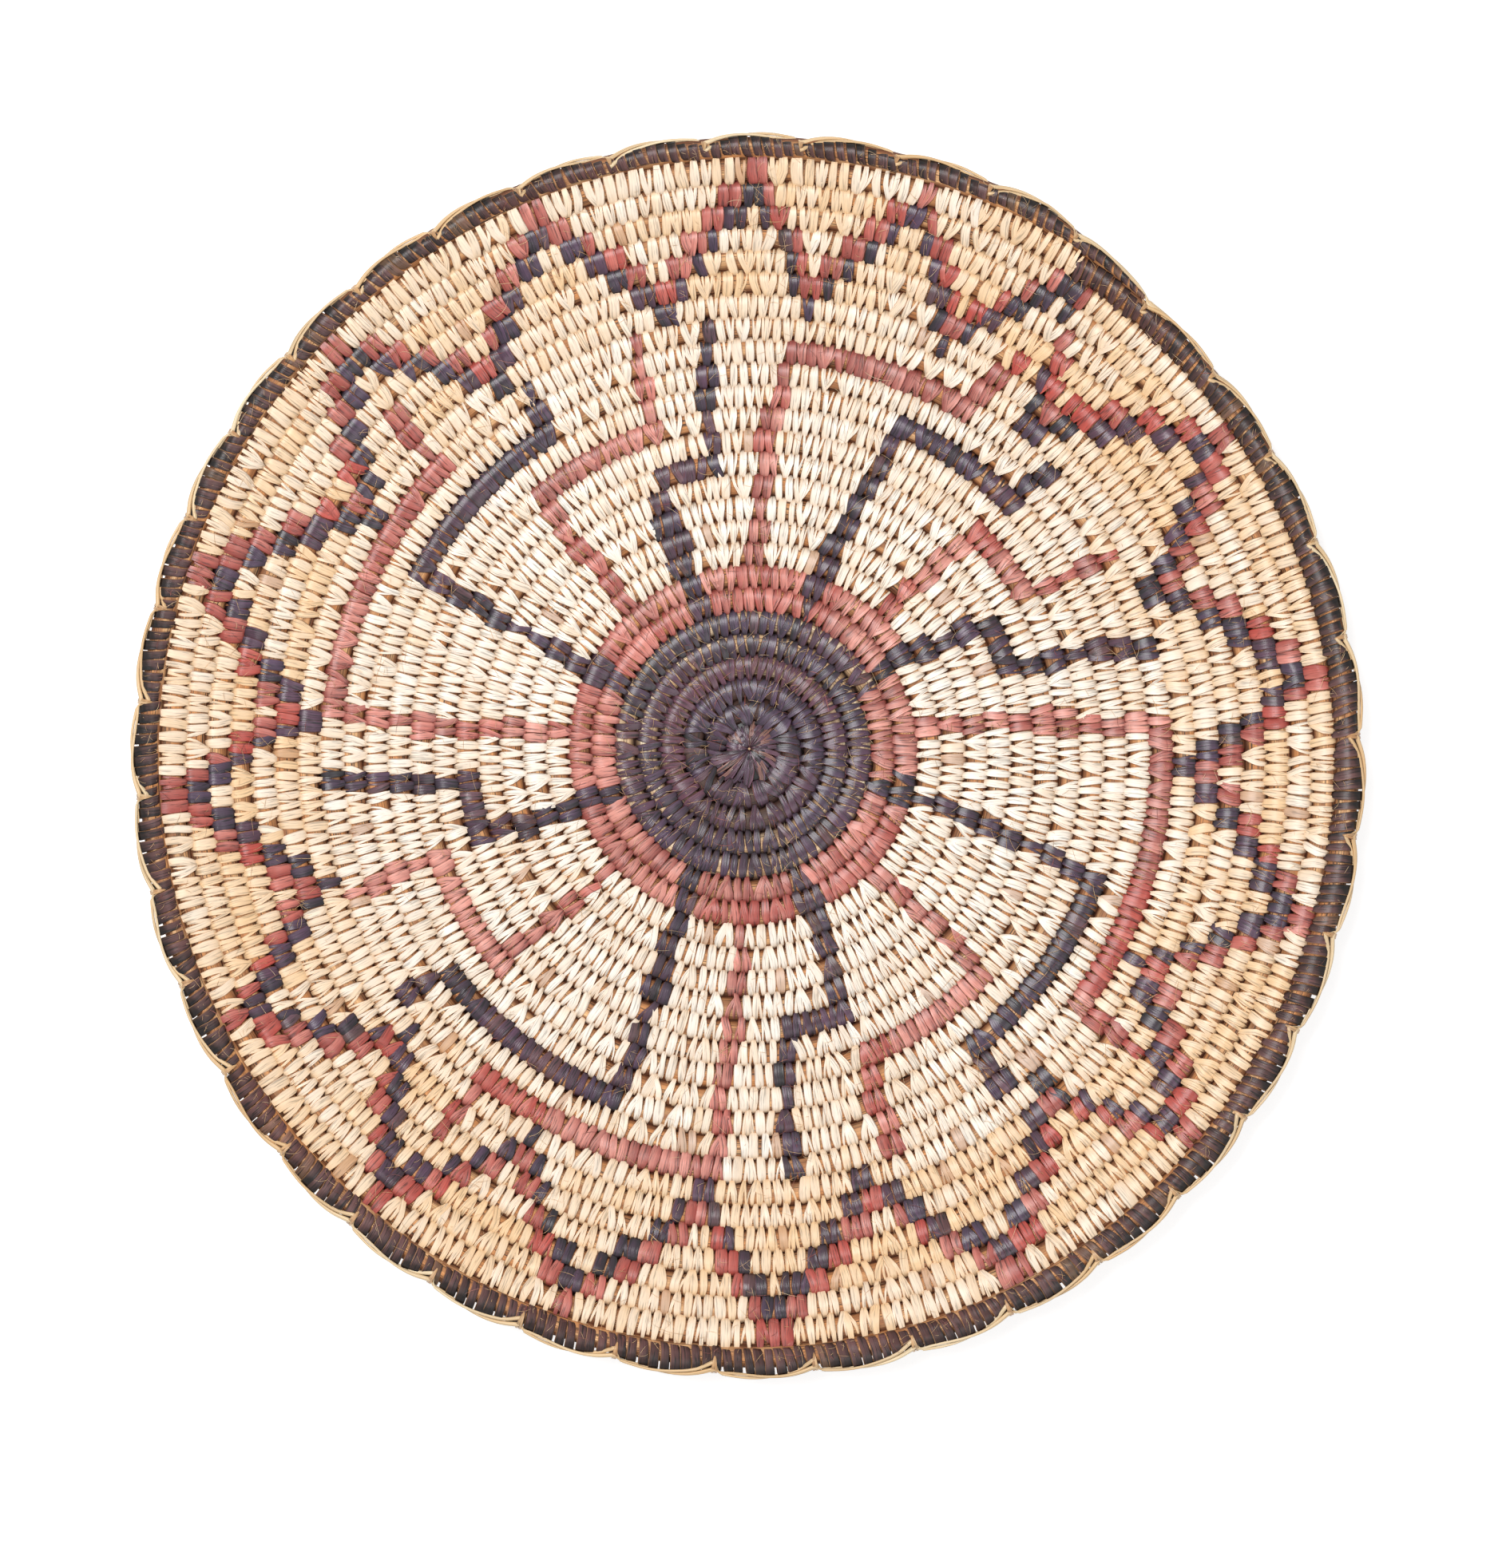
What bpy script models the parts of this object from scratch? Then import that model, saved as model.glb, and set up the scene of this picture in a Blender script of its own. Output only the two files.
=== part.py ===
"""A shallow coiled basket tray, with the bundle that it is wound from modelled as one spiral.

Run it with: blender --background --python part.py
Units are metres and +Z is up. The tray lies face up on its flat bottom, and the origin is on the
underside of the start knot. Every place along the spiral is a number of laps, counted from the
middle. Seen from above, the spiral runs outwards clockwise.
"""
import math

import bmesh
import bpy
from mathutils import Matrix, Vector

# Laps of the spiral and how they lie
LAP_PITCH = 0.00714
LAP_GAP = 0.00065
BASE_RADIUS = 0.095
WALL_ARC_RADIUS = 0.265
DRIFT_PER_LAP = 0.00015
DRIFT_BEARING = math.radians(-55)
START_BEARING = math.radians(27)
FLOOR_CUT_SHARE = 0.1
PIECE_GAP = 0.0003

# Points on each lap. A length of coil ends half way between two of them, where it is straight
STATIONS = 24
COIL_START = 1.15
CENTRE_END = 140.5 / STATIONS
RING_END = CENTRE_END + 2
FIELD_END = RING_END + 5.5
WALL_END = FIELD_END + 5.5
BAND_END = 618.5 / STATIONS
RIM_END = BAND_END + 1.009

# The thin first stretch of the coil and the thin end of the rim
START_TAPER_LAPS = 0.35
START_TAPER_SHARE = 0.22
RIM_TAPER_LAPS = 0.72 / STATIONS
RIM_TAPER_SHARE = 0.45

# Start knot
KNOT_FLAT_SHARE = 0.72
KNOT_SHOULDER_SHARE = 0.78
KNOT_STEPS = 24

# Cane round the rim, and the ties that hold it
CANE_DIAMETER = 0.0012
SCALLOPS = 39
SCALLOP_BULGE = 0.0009
SCALLOP_POINTS = 4
SCALLOP_SWAY = 0.0067
SWAY_ROUNDS = 12
TIE_DIAMETER = 0.0009
TIE_REACH_SHARE = 0.25

# Worked out from the sizes above
HALF_WIDTH = (LAP_PITCH - LAP_GAP) / 2
HALF_HEIGHT = HALF_WIDTH * math.cos(math.radians(30))
MIDDLE_HEIGHT = HALF_HEIGHT - 2 * HALF_WIDTH * FLOOR_CUT_SHARE
TOP_HEIGHT = MIDDLE_HEIGHT + HALF_HEIGHT
TRAY_REACH = (RIM_END + 2) * LAP_PITCH


def clear_scene():
    for old in list(bpy.data.objects):
        bpy.data.objects.remove(old, do_unlink=True)


def make_collection(name):
    group = bpy.data.collections.new(name)
    bpy.context.scene.collection.children.link(group)
    return group


def make_material(name, colour, roughness):
    """A dyed or plain plant fibre: never metallic, and mostly dull."""
    material = bpy.data.materials.new(name)
    material.use_nodes = True
    shader = material.node_tree.nodes["Principled BSDF"]
    shader.inputs["Base Color"].default_value = (*colour, 1)
    shader.inputs["Roughness"].default_value = roughness
    shader.inputs["Metallic"].default_value = 0
    return material


def bearing_at(laps):
    return START_BEARING - math.tau * (laps - CENTRE_END)


def slope_at(laps):
    """How steeply the wall leans out: none on the flat bottom, then more along an arc."""
    return max(laps * LAP_PITCH - BASE_RADIUS, 0) / WALL_ARC_RADIUS


def directions_at(laps):
    """Outwards along the wall, and up square to it."""
    bearing = bearing_at(laps)
    slope = slope_at(laps)
    outward = Vector((math.cos(bearing) * math.cos(slope),
                      math.sin(bearing) * math.cos(slope),
                      math.sin(slope)))
    upward = Vector((-math.cos(bearing) * math.sin(slope),
                     -math.sin(bearing) * math.sin(slope),
                     math.cos(slope)))
    return outward, upward


def spiral_point(laps, outwards=0, upwards=0):
    """A point of the true spiral, or beside it by a distance outwards and upwards."""
    slope = slope_at(laps)
    bearing = bearing_at(laps)
    reach = min(laps * LAP_PITCH, BASE_RADIUS) + WALL_ARC_RADIUS * math.sin(slope)
    climb = WALL_ARC_RADIUS * (1 - math.cos(slope))
    drift = DRIFT_PER_LAP * laps
    point = Vector((reach * math.cos(bearing) + drift * math.cos(DRIFT_BEARING),
                    reach * math.sin(bearing) + drift * math.sin(DRIFT_BEARING),
                    MIDDLE_HEIGHT + climb))
    outward, upward = directions_at(laps)
    return point + outward * outwards + upward * upwards


def coil_point(laps, outwards=0, upwards=0):
    """The same on the coil as it is built, which is straight from one station to the next."""
    before = math.floor(laps * STATIONS) / STATIONS
    share = (laps - before) * STATIONS
    first = spiral_point(before, outwards, upwards)
    second = spiral_point(before + 1 / STATIONS, outwards, upwards)
    return first.lerp(second, share)


def laps_between(start, end):
    """The two ends, and every station between them."""
    first = math.floor(start * STATIONS) + 1
    last = math.ceil(end * STATIONS) - 1
    return [start] + [number / STATIONS for number in range(first, last + 1)] + [end]


def laps_past(laps, distance):
    """The place a short distance further along the coil."""
    return laps + distance / (coil_point(laps) - coil_point(laps + 1 / STATIONS)).length / STATIONS


def make_tube(name, points, radius, group, material, widths=None, tilts=None, closed=False):
    """A six-sided tube along straight stretches, as a curve object."""
    curve = bpy.data.curves.new(name, "CURVE")
    curve.dimensions = "3D"
    curve.twist_mode = "Z_UP"
    curve.bevel_depth = radius
    curve.bevel_resolution = 1
    curve.use_fill_caps = True
    spline = curve.splines.new("POLY")
    spline.points.add(len(points) - 1)
    spline.use_cyclic_u = closed
    for number, point in enumerate(points):
        spline.points[number].co = (*point, 1)
        if widths:
            spline.points[number].radius = widths[number]
        if tilts:
            spline.points[number].tilt = tilts[number]
    curve.materials.append(material)
    tube = bpy.data.objects.new(name, curve)
    group.objects.link(tube)
    return tube


def mesh_from_curve(tube):
    """The same tube as a mesh with its caps joined on, so that it can be cut."""
    evaluated = tube.evaluated_get(bpy.context.evaluated_depsgraph_get())
    mesh = bpy.data.meshes.new_from_object(evaluated)
    shape = bmesh.new()
    shape.from_mesh(mesh)
    bmesh.ops.remove_doubles(shape, verts=shape.verts, dist=PIECE_GAP / 100)
    bmesh.ops.recalc_face_normals(shape, faces=shape.faces)
    shape.to_mesh(mesh)
    shape.free()
    name = tube.name
    group = tube.users_collection[0]
    place = tube.matrix_world.copy()
    bpy.data.objects.remove(tube, do_unlink=True)
    solid = bpy.data.objects.new(name, mesh)
    solid.matrix_world = place
    group.objects.link(solid)
    return solid


def width_at(laps, thin_start, thin_end):
    """Share of the full thickness: one along the coil, less at a thin start or end."""
    share = 1
    if thin_start is not None:
        done = min((laps - thin_start) / START_TAPER_LAPS, 1)
        share = START_TAPER_SHARE + (1 - START_TAPER_SHARE) * done
    if thin_end is not None:
        done = min((thin_end - laps) / RIM_TAPER_LAPS, 1)
        share = min(share, RIM_TAPER_SHARE + (1 - RIM_TAPER_SHARE) * done)
    return share


def make_coil(name, start, end, group, material, thin_start=None, thin_end=None):
    """One length of the coil. It prints the least gap between its own laps."""
    places = laps_between(start, end)
    widths = [width_at(laps, thin_start, thin_end) for laps in places]
    points = []
    for laps, width in zip(places, widths):
        room = HALF_WIDTH * (1 - width)
        # a thin start lies against the lap outside it, a thin end against the lap inside it
        aside = -room if thin_end is not None else room
        points.append(coil_point(laps, aside))
    tilts = [slope_at(laps) for laps in places]
    tube = make_tube(name, points, HALF_WIDTH, group, material, widths, tilts)
    gap = least_gap(points, widths)
    print(f"{name}: {end - start:.2f} laps, least gap to itself {gap * 1000:.2f} mm")
    return mesh_from_curve(tube)


def least_gap(points, widths):
    """Measured from point to point, between places at least half a lap apart on one tube."""
    least = TRAY_REACH
    for number, point in enumerate(points):
        for other in range(number + STATIONS // 2, min(number + 2 * STATIONS, len(points))):
            apart = (points[other] - point).length
            least = min(least, apart - HALF_WIDTH * (widths[number] + widths[other]))
    return least


def make_floor_cutter(group):
    """What lies under the floor. It cuts the bottom laps flat, so that the tray stands on them."""
    depth = HALF_WIDTH
    place = Matrix.Translation((0, 0, -depth / 2)) @ Matrix.Diagonal((TRAY_REACH, TRAY_REACH, depth / 2, 1))
    shape = bmesh.new()
    bmesh.ops.create_cube(shape, size=2, matrix=place)
    mesh = bpy.data.meshes.new("floor_cutter")
    shape.to_mesh(mesh)
    shape.free()
    cutter = bpy.data.objects.new("floor_cutter", mesh)
    cutter.display_type = "WIRE"
    cutter.hide_render = True
    group.objects.link(cutter)
    return cutter


def cut_flat(solid, cutter):
    cut = solid.modifiers.new("flat_bottom", "BOOLEAN")
    cut.operation = "DIFFERENCE"
    cut.solver = "EXACT"
    cut.object = cutter


def eye_outline():
    """Points along the inside of the first laps, with the middle of each straight stretch."""
    first = math.ceil(COIL_START * STATIONS)
    last = math.floor((COIL_START + START_TAPER_LAPS + 1) * STATIONS)
    places = [half / 2 / STATIONS for half in range(2 * first, 2 * last)]
    insides = [HALF_WIDTH * (1 - 2 * width_at(laps, COIL_START, None)) for laps in places]
    return [coil_point(laps, inside).xy for laps, inside in zip(places, insides)]


def make_start_knot(group, material):
    """The round button in the eye of the spiral, turned from half of its outline."""
    near = coil_point(COIL_START + START_TAPER_LAPS, -HALF_WIDTH).xy
    far = coil_point(COIL_START + START_TAPER_LAPS + 0.5, -HALF_WIDTH).xy
    middle = (near + far) / 2
    radius = min((eye - middle).length for eye in eye_outline()) - PIECE_GAP
    waist = (TOP_HEIGHT + MIDDLE_HEIGHT) / 2
    outline = [(0, TOP_HEIGHT),
               (radius * KNOT_FLAT_SHARE, TOP_HEIGHT * (1 + KNOT_SHOULDER_SHARE) / 2),
               (radius, waist),
               (radius, MIDDLE_HEIGHT),
               (radius * KNOT_FLAT_SHARE, 0),
               (0, 0)]
    mesh = bpy.data.meshes.new("start_knot")
    mesh.from_pydata([(across, 0, up) for across, up in outline],
                     [(number, number + 1) for number in range(len(outline) - 1)], [])
    mesh.materials.append(material)
    knot = bpy.data.objects.new("start_knot", mesh)
    knot.location = (*middle, 0)
    group.objects.link(knot)
    turn = knot.modifiers.new("turned", "SCREW")
    turn.axis = "Z"
    turn.steps = KNOT_STEPS
    turn.render_steps = KNOT_STEPS
    turn.use_merge_vertices = True
    turn.merge_threshold = PIECE_GAP / 100
    return knot


def scallop_place(count):
    """Where a number of scallops ends. They are a little wider along one half of the rim."""
    share = count / SCALLOPS
    for _ in range(SWAY_ROUNDS):
        share = count / SCALLOPS + SCALLOP_SWAY * (1 - math.cos(math.tau * share))
    return RIM_END - 1 + share


def scallop_count(laps):
    """The other way round: how many scallops lie between the cane's start and a place."""
    share = laps - (RIM_END - 1)
    return SCALLOPS * (share - SCALLOP_SWAY * (1 - math.cos(math.tau * share)))


def scallop_offset(laps):
    """How far out the cane's middle lies: against the rim at each tie, and proud between two."""
    bulge = SCALLOP_BULGE * math.cos(math.pi * scallop_count(laps)) ** 2
    width = width_at(laps, None, RIM_END)
    rim_surface = HALF_WIDTH * (2 * width - 1)
    return rim_surface + PIECE_GAP + CANE_DIAMETER / 2 + bulge


def make_edge_cane(group, material):
    """Pale cane laid once round the rim. It has a point at each of the rim's own corners."""
    steps = SCALLOPS * SCALLOP_POINTS
    places = {scallop_place(number / SCALLOP_POINTS) for number in range(1, steps + 1)}
    places |= set(laps_between(RIM_END - 1, RIM_END)[1:-1])
    near = 1 / steps / 8
    places = sorted(places)
    kept = [laps for laps, later in zip(places, places[1:]) if later - laps > near] + [RIM_END]
    points = [coil_point(laps, scallop_offset(laps)) for laps in kept]
    return make_tube("edge_cane", points, CANE_DIAMETER / 2, group, material, closed=True)


def make_edge_tie(number, group, material):
    """A loop from the rim's face, round the outside of the cane, to the rim's underside."""
    laps = scallop_place(number - 0.5)
    radius = TIE_DIAMETER / 2
    over = HALF_HEIGHT + PIECE_GAP + radius
    cane = scallop_offset(laps)
    around = cane + CANE_DIAMETER / 2 + PIECE_GAP + radius
    surface = cane - CANE_DIAMETER / 2 - PIECE_GAP
    corner = surface - HALF_WIDTH / 2 + radius
    start = surface - HALF_WIDTH * (2 - TIE_REACH_SHARE) / 2
    upper = [(start, over), (corner, over), (around, CANE_DIAMETER / 2 + radius)]
    lower = [(outwards, -upwards) for outwards, upwards in reversed(upper)]
    points = [coil_point(laps, outwards, upwards) for outwards, upwards in upper + lower]
    return make_tube(f"edge_tie_{number:02d}", points, radius, group, material)


def build():
    clear_scene()
    basket = make_collection("basket_tray")
    cutters = make_collection("cutters")
    black = make_material("black_splint", (0.030, 0.025, 0.030), 0.6)
    red = make_material("red_splint", (0.42, 0.10, 0.07), 0.65)
    natural = make_material("natural_splint", (0.80, 0.62, 0.38), 0.6)
    cane = make_material("pale_cane", (0.82, 0.60, 0.34), 0.55)

    cutter = make_floor_cutter(cutters)
    half_gap = PIECE_GAP / 2
    coils = [("centre_coil", COIL_START, CENTRE_END, black, COIL_START, None),
             ("ring_coil", CENTRE_END, RING_END, red, None, None),
             ("field_coil", RING_END, FIELD_END, natural, None, None),
             ("wall_coil", FIELD_END, WALL_END, natural, None, None),
             ("band_coil", WALL_END, BAND_END, natural, None, None),
             ("rim_coil", BAND_END, RIM_END, black, None, RIM_END)]
    for name, start, end, material, thin_start, thin_end in coils:
        first = start if thin_start else laps_past(start, half_gap)
        last = end if thin_end else laps_past(end, -half_gap)
        coil = make_coil(name, first, last, basket, material, thin_start, thin_end)
        cut_flat(coil, cutter)
    make_start_knot(basket, black)
    make_edge_cane(basket, cane)
    for number in range(1, SCALLOPS + 1):
        make_edge_tie(number, basket, cane)

    tray = bpy.data.objects.new("basket_tray", None)
    basket.objects.link(tray)
    for piece in basket.objects:
        if piece is not tray:
            piece.parent = tray


build()
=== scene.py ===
# %% [markdown]
# # A coiled basket tray, stitch by stitch
# The real tray is one long bundle of grass, wound in a flat spiral and sewn with split leaf.
# Every stitch goes round the new lap and dips into the lap below it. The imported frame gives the
# exact size and place of each length of coil. This script dresses it: first the straight bundle
# and the straight rows of stitches are modelled, and then all of it is wound up.

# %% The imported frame
import math

import bmesh
import bpy
import numpy as np
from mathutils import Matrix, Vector


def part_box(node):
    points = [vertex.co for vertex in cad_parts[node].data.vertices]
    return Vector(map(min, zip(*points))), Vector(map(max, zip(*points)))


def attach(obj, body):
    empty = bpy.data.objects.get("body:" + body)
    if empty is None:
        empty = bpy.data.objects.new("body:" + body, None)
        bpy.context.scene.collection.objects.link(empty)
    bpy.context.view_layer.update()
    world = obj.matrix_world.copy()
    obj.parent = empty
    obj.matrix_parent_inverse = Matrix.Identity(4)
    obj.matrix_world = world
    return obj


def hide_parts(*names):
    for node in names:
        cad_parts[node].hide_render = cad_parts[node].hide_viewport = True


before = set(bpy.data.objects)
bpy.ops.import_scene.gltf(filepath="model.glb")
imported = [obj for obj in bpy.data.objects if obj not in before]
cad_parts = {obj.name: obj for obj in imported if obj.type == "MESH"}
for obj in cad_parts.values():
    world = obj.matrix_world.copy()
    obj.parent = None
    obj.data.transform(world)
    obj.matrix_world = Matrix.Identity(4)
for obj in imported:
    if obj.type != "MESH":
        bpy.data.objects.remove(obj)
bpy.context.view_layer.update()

# %% [markdown]
# ## Camera
# The tray is seen straight onto its face from a long way off, so that the rim is a true circle.
# An orthographic camera would show it so, but a long lens far away keeps the slight narrowing
# that a real one gives. The tray lies face up, so the camera hangs above it.

# %% Camera
VIEW_WIDTH = 0.4606
VIEW_MIDDLE = (0.0006, -0.0113)
RIM_TOP = 0.0235
CAMERA_DISTANCE = 1.9
SENSOR_WIDTH = 36
FARTHEST_SEEN = 50

lens = bpy.data.cameras.new("camera")
lens.sensor_fit = "HORIZONTAL"
lens.sensor_width = SENSOR_WIDTH
lens.lens = SENSOR_WIDTH * CAMERA_DISTANCE / VIEW_WIDTH
lens.clip_end = FARTHEST_SEEN
camera = bpy.data.objects.new("camera", lens)
camera.location = (*VIEW_MIDDLE, RIM_TOP + CAMERA_DISTANCE)
bpy.context.scene.collection.objects.link(camera)
bpy.context.scene.camera = camera
bpy.context.scene.view_settings.view_transform = "Standard"
print(f"lens {lens.lens:.1f} mm")

# %% [markdown]
# ## Floor and light
# A plain white floor carries the tray. A curved backdrop isn't needed, as the camera looks
# straight down. Part of the floor's white is its own, so that the ground of the picture stays
# white, and the rest comes from the lamps, so that the tray's soft shadow stays.
# The light is a studio's: an even white world, a wide lamp beyond the far edge of the tray that
# draws the sheen on the splints, and a weak one on the other side.


# %% Helpers for nodes
def linear(red, green, blue):
    """A colour as a painter reads it, 0 to 255, in the linear values that a shader takes."""
    shares = [value / 255 for value in (red, green, blue)]
    return tuple(s / 12.92 if s < 0.04045 else ((s + 0.055) / 1.055) ** 2.4 for s in shares)


def new_material(name):
    material = bpy.data.materials.new(name)
    material.use_nodes = True
    material.node_tree.nodes.clear()
    return material


def add_node(material, kind, **settings):
    node = material.node_tree.nodes.new(kind)
    for name, value in settings.items():
        setattr(node, name, value)
    return node


def join(material, output, socket):
    material.node_tree.links.new(output, socket)


print(f"a middle grey of 128 is {linear(128, 128, 128)[0]:.3f} to a shader")


# %% Floor
FLOOR_SIDE = 12
FLOOR_LEVEL = -0.0002
FLOOR_WHITE = 0.8
FLOOR_OWN_LIGHT = 0.6


def background_share(material):
    """One for rays from the camera, off gloss or through glass, which see the plain ground."""
    rays = add_node(material, "ShaderNodeLightPath")
    seen = add_node(material, "ShaderNodeMath", operation="MAXIMUM")
    either = add_node(material, "ShaderNodeMath", operation="MAXIMUM")
    join(material, rays.outputs["Is Camera Ray"], seen.inputs[0])
    join(material, rays.outputs["Is Glossy Ray"], seen.inputs[1])
    join(material, seen.outputs[0], either.inputs[0])
    join(material, rays.outputs["Is Transmission Ray"], either.inputs[1])
    return either.outputs[0]


def floor_finish():
    material = new_material("floor_white")
    matt = add_node(material, "ShaderNodeBsdfDiffuse")
    matt.inputs["Color"].default_value = (FLOOR_WHITE, FLOOR_WHITE, FLOOR_WHITE, 1)
    own = add_node(material, "ShaderNodeEmission")
    strength = add_node(material, "ShaderNodeMath", operation="MULTIPLY")
    strength.inputs[1].default_value = FLOOR_OWN_LIGHT
    join(material, background_share(material), strength.inputs[0])
    join(material, strength.outputs[0], own.inputs["Strength"])
    both = add_node(material, "ShaderNodeAddShader")
    join(material, matt.outputs[0], both.inputs[0])
    join(material, own.outputs[0], both.inputs[1])
    end = add_node(material, "ShaderNodeOutputMaterial")
    join(material, both.outputs[0], end.inputs["Surface"])
    return material


bpy.ops.object.select_all(action="DESELECT")
bpy.ops.mesh.primitive_plane_add(size=FLOOR_SIDE, location=(0, 0, FLOOR_LEVEL))
floor = bpy.context.object
floor.name = "floor"
floor.data.materials.append(floor_finish())
print(f"floor {FLOOR_SIDE} m wide")

# %% Lamps
WORLD_STRENGTH = 0.42
LAMPS = [("key_lamp", (-0.5, 0.42, 1.55), 0.8, 20),
         ("fill_lamp", (0.6, -0.7, 1.5), 0.9, 5)]

world = bpy.data.worlds.new("studio")
world.use_nodes = True
bpy.context.scene.world = world
shell = world.node_tree.nodes["Background"]
shell.inputs["Color"].default_value = (1, 1, 1, 1)
level = world.node_tree.nodes.new("ShaderNodeMapRange")
level.inputs["To Min"].default_value = WORLD_STRENGTH
level.inputs["To Max"].default_value = 1
join(world, background_share(world), level.inputs["Value"])
join(world, level.outputs["Result"], shell.inputs["Strength"])

for name, place, side, power in LAMPS:
    light = bpy.data.lights.new(name, "AREA")
    light.shape = "SQUARE"
    light.size = side
    light.energy = power
    lamp = bpy.data.objects.new(name, light)
    lamp.location = place
    lamp.rotation_euler = (-Vector(place)).to_track_quat("-Z", "Y").to_euler()
    bpy.context.scene.collection.objects.link(lamp)
print(len(LAMPS), "lamps over the tray")

# %% [markdown]
# ## The spiral
# The frame's coil is a spiral of a steady pitch: flat in the middle, and bent up along an arc
# where the wall begins. These are its own sizes, so that the dressing follows it exactly. All
# rows are modelled straight, with x along the coil, y outwards and z up, and `wind` then moves
# each point onto the spiral. A Curve modifier would bend them too, but it doesn't know how the
# dish leans, nor where the coil tapers. Places along the coil are counted in laps.

# %% Sizes of the coil
LAP_PITCH = 0.00714
HALF_WIDTH = 0.003245
BASE_RADIUS = 0.095
WALL_ARC_RADIUS = 0.265
MIDDLE_HEIGHT = 0.002161
DRIFT_PER_LAP = 0.00015
DRIFT_BEARING = math.radians(-55)
START_BEARING = math.radians(27)
COIL_START = 1.15
CENTRE_END = 140.5 / 24
RING_END = CENTRE_END + 2
FIELD_END = RING_END + 5.5
WALL_END = FIELD_END + 5.5
BAND_END = 618.5 / 24
RIM_END = BAND_END + 1.009
TIP_END = RIM_END + 0.012
START_TAPER_LAPS = 0.35
START_TAPER_SHARE = 0.22
TIP_TAPER_LAPS = 0.035
TIP_TAPER_SHARE = 0.3
TIP_TUCK = 0.0048
MM = 0.001
LOWEST_POINT = 0.02 * MM
print(f"{RIM_END:.2f} laps at a pitch of {LAP_PITCH / MM:.2f} mm")


# %% From straight to wound
def coil_frame(laps):
    """The middle of the bundle at a place, with outwards along the wall and up square to it."""
    bearing = START_BEARING - math.tau * (laps - CENTRE_END)
    slope = np.maximum(laps * LAP_PITCH - BASE_RADIUS, 0) / WALL_ARC_RADIUS
    reach = np.minimum(laps * LAP_PITCH, BASE_RADIUS) + WALL_ARC_RADIUS * np.sin(slope)
    climb = WALL_ARC_RADIUS * (1 - np.cos(slope))
    drift = DRIFT_PER_LAP * laps
    east, north = np.cos(bearing), np.sin(bearing)
    middle = np.stack([reach * east + drift * math.cos(DRIFT_BEARING),
                       reach * north + drift * math.sin(DRIFT_BEARING),
                       MIDDLE_HEIGHT + climb], -1)
    outward = np.stack([east * np.cos(slope), north * np.cos(slope), np.sin(slope)], -1)
    upward = np.stack([-east * np.sin(slope), -north * np.sin(slope), np.cos(slope)], -1)
    return middle, outward, upward


TABLE_PLACES = 30001
LAP_TABLE = np.linspace(0, TIP_END + 0.1, TABLE_PLACES)
TABLE_STEPS = np.linalg.norm(np.diff(coil_frame(LAP_TABLE)[0], axis=0), axis=1)
RUN_TABLE = np.concatenate([[0], np.cumsum(TABLE_STEPS)])


def laps_at(run):
    return np.interp(run, RUN_TABLE, LAP_TABLE)


def run_at(laps):
    """Metres along the middle of the bundle, from the centre of the tray."""
    return np.interp(laps, LAP_TABLE, RUN_TABLE)


def tip_share(laps):
    """How thick the coil still is where it tapers off, from one down to TIP_TAPER_SHARE."""
    closing = np.clip((TIP_END - laps) / TIP_TAPER_LAPS, 0, 1)
    return TIP_TAPER_SHARE + (1 - TIP_TAPER_SHARE) * closing


def wind(points):
    """Straight points onto the spiral. The coil is thin where it starts and where it ends."""
    laps = laps_at(points[:, 0])
    middle, outward, upward = coil_frame(laps)
    opening = np.clip((laps - COIL_START) / START_TAPER_LAPS, 0, 1)
    start = START_TAPER_SHARE + (1 - START_TAPER_SHARE) * opening
    tip = tip_share(laps)
    girth = (start * tip)[:, None]
    shift = (HALF_WIDTH * (1 - start) - TIP_TUCK * (1 - tip))[:, None]
    wound = middle + outward * (points[:, 1:2] * girth + shift) + upward * points[:, 2:3] * girth
    wound[:, 2] = np.maximum(wound[:, 2], LOWEST_POINT)
    return wound


print(f"the bundle is {RUN_TABLE[-1]:.1f} m long")

# %% [markdown]
# ## The pattern
# The sewer changes the colour of the splint as the pattern needs, so each lap is a row of a
# chart. Paint over the whole tray would cut through stitches, while a chart gives each one its
# colour. A place in it is a lap, counted from the end of the black centre, and a bearing in
# degrees, clockwise from the start of the ring. The arms are written down lap by lap, as
# (first lap, last lap, from, to). The star band is a rule: one step of a flank on each lap.

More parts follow.
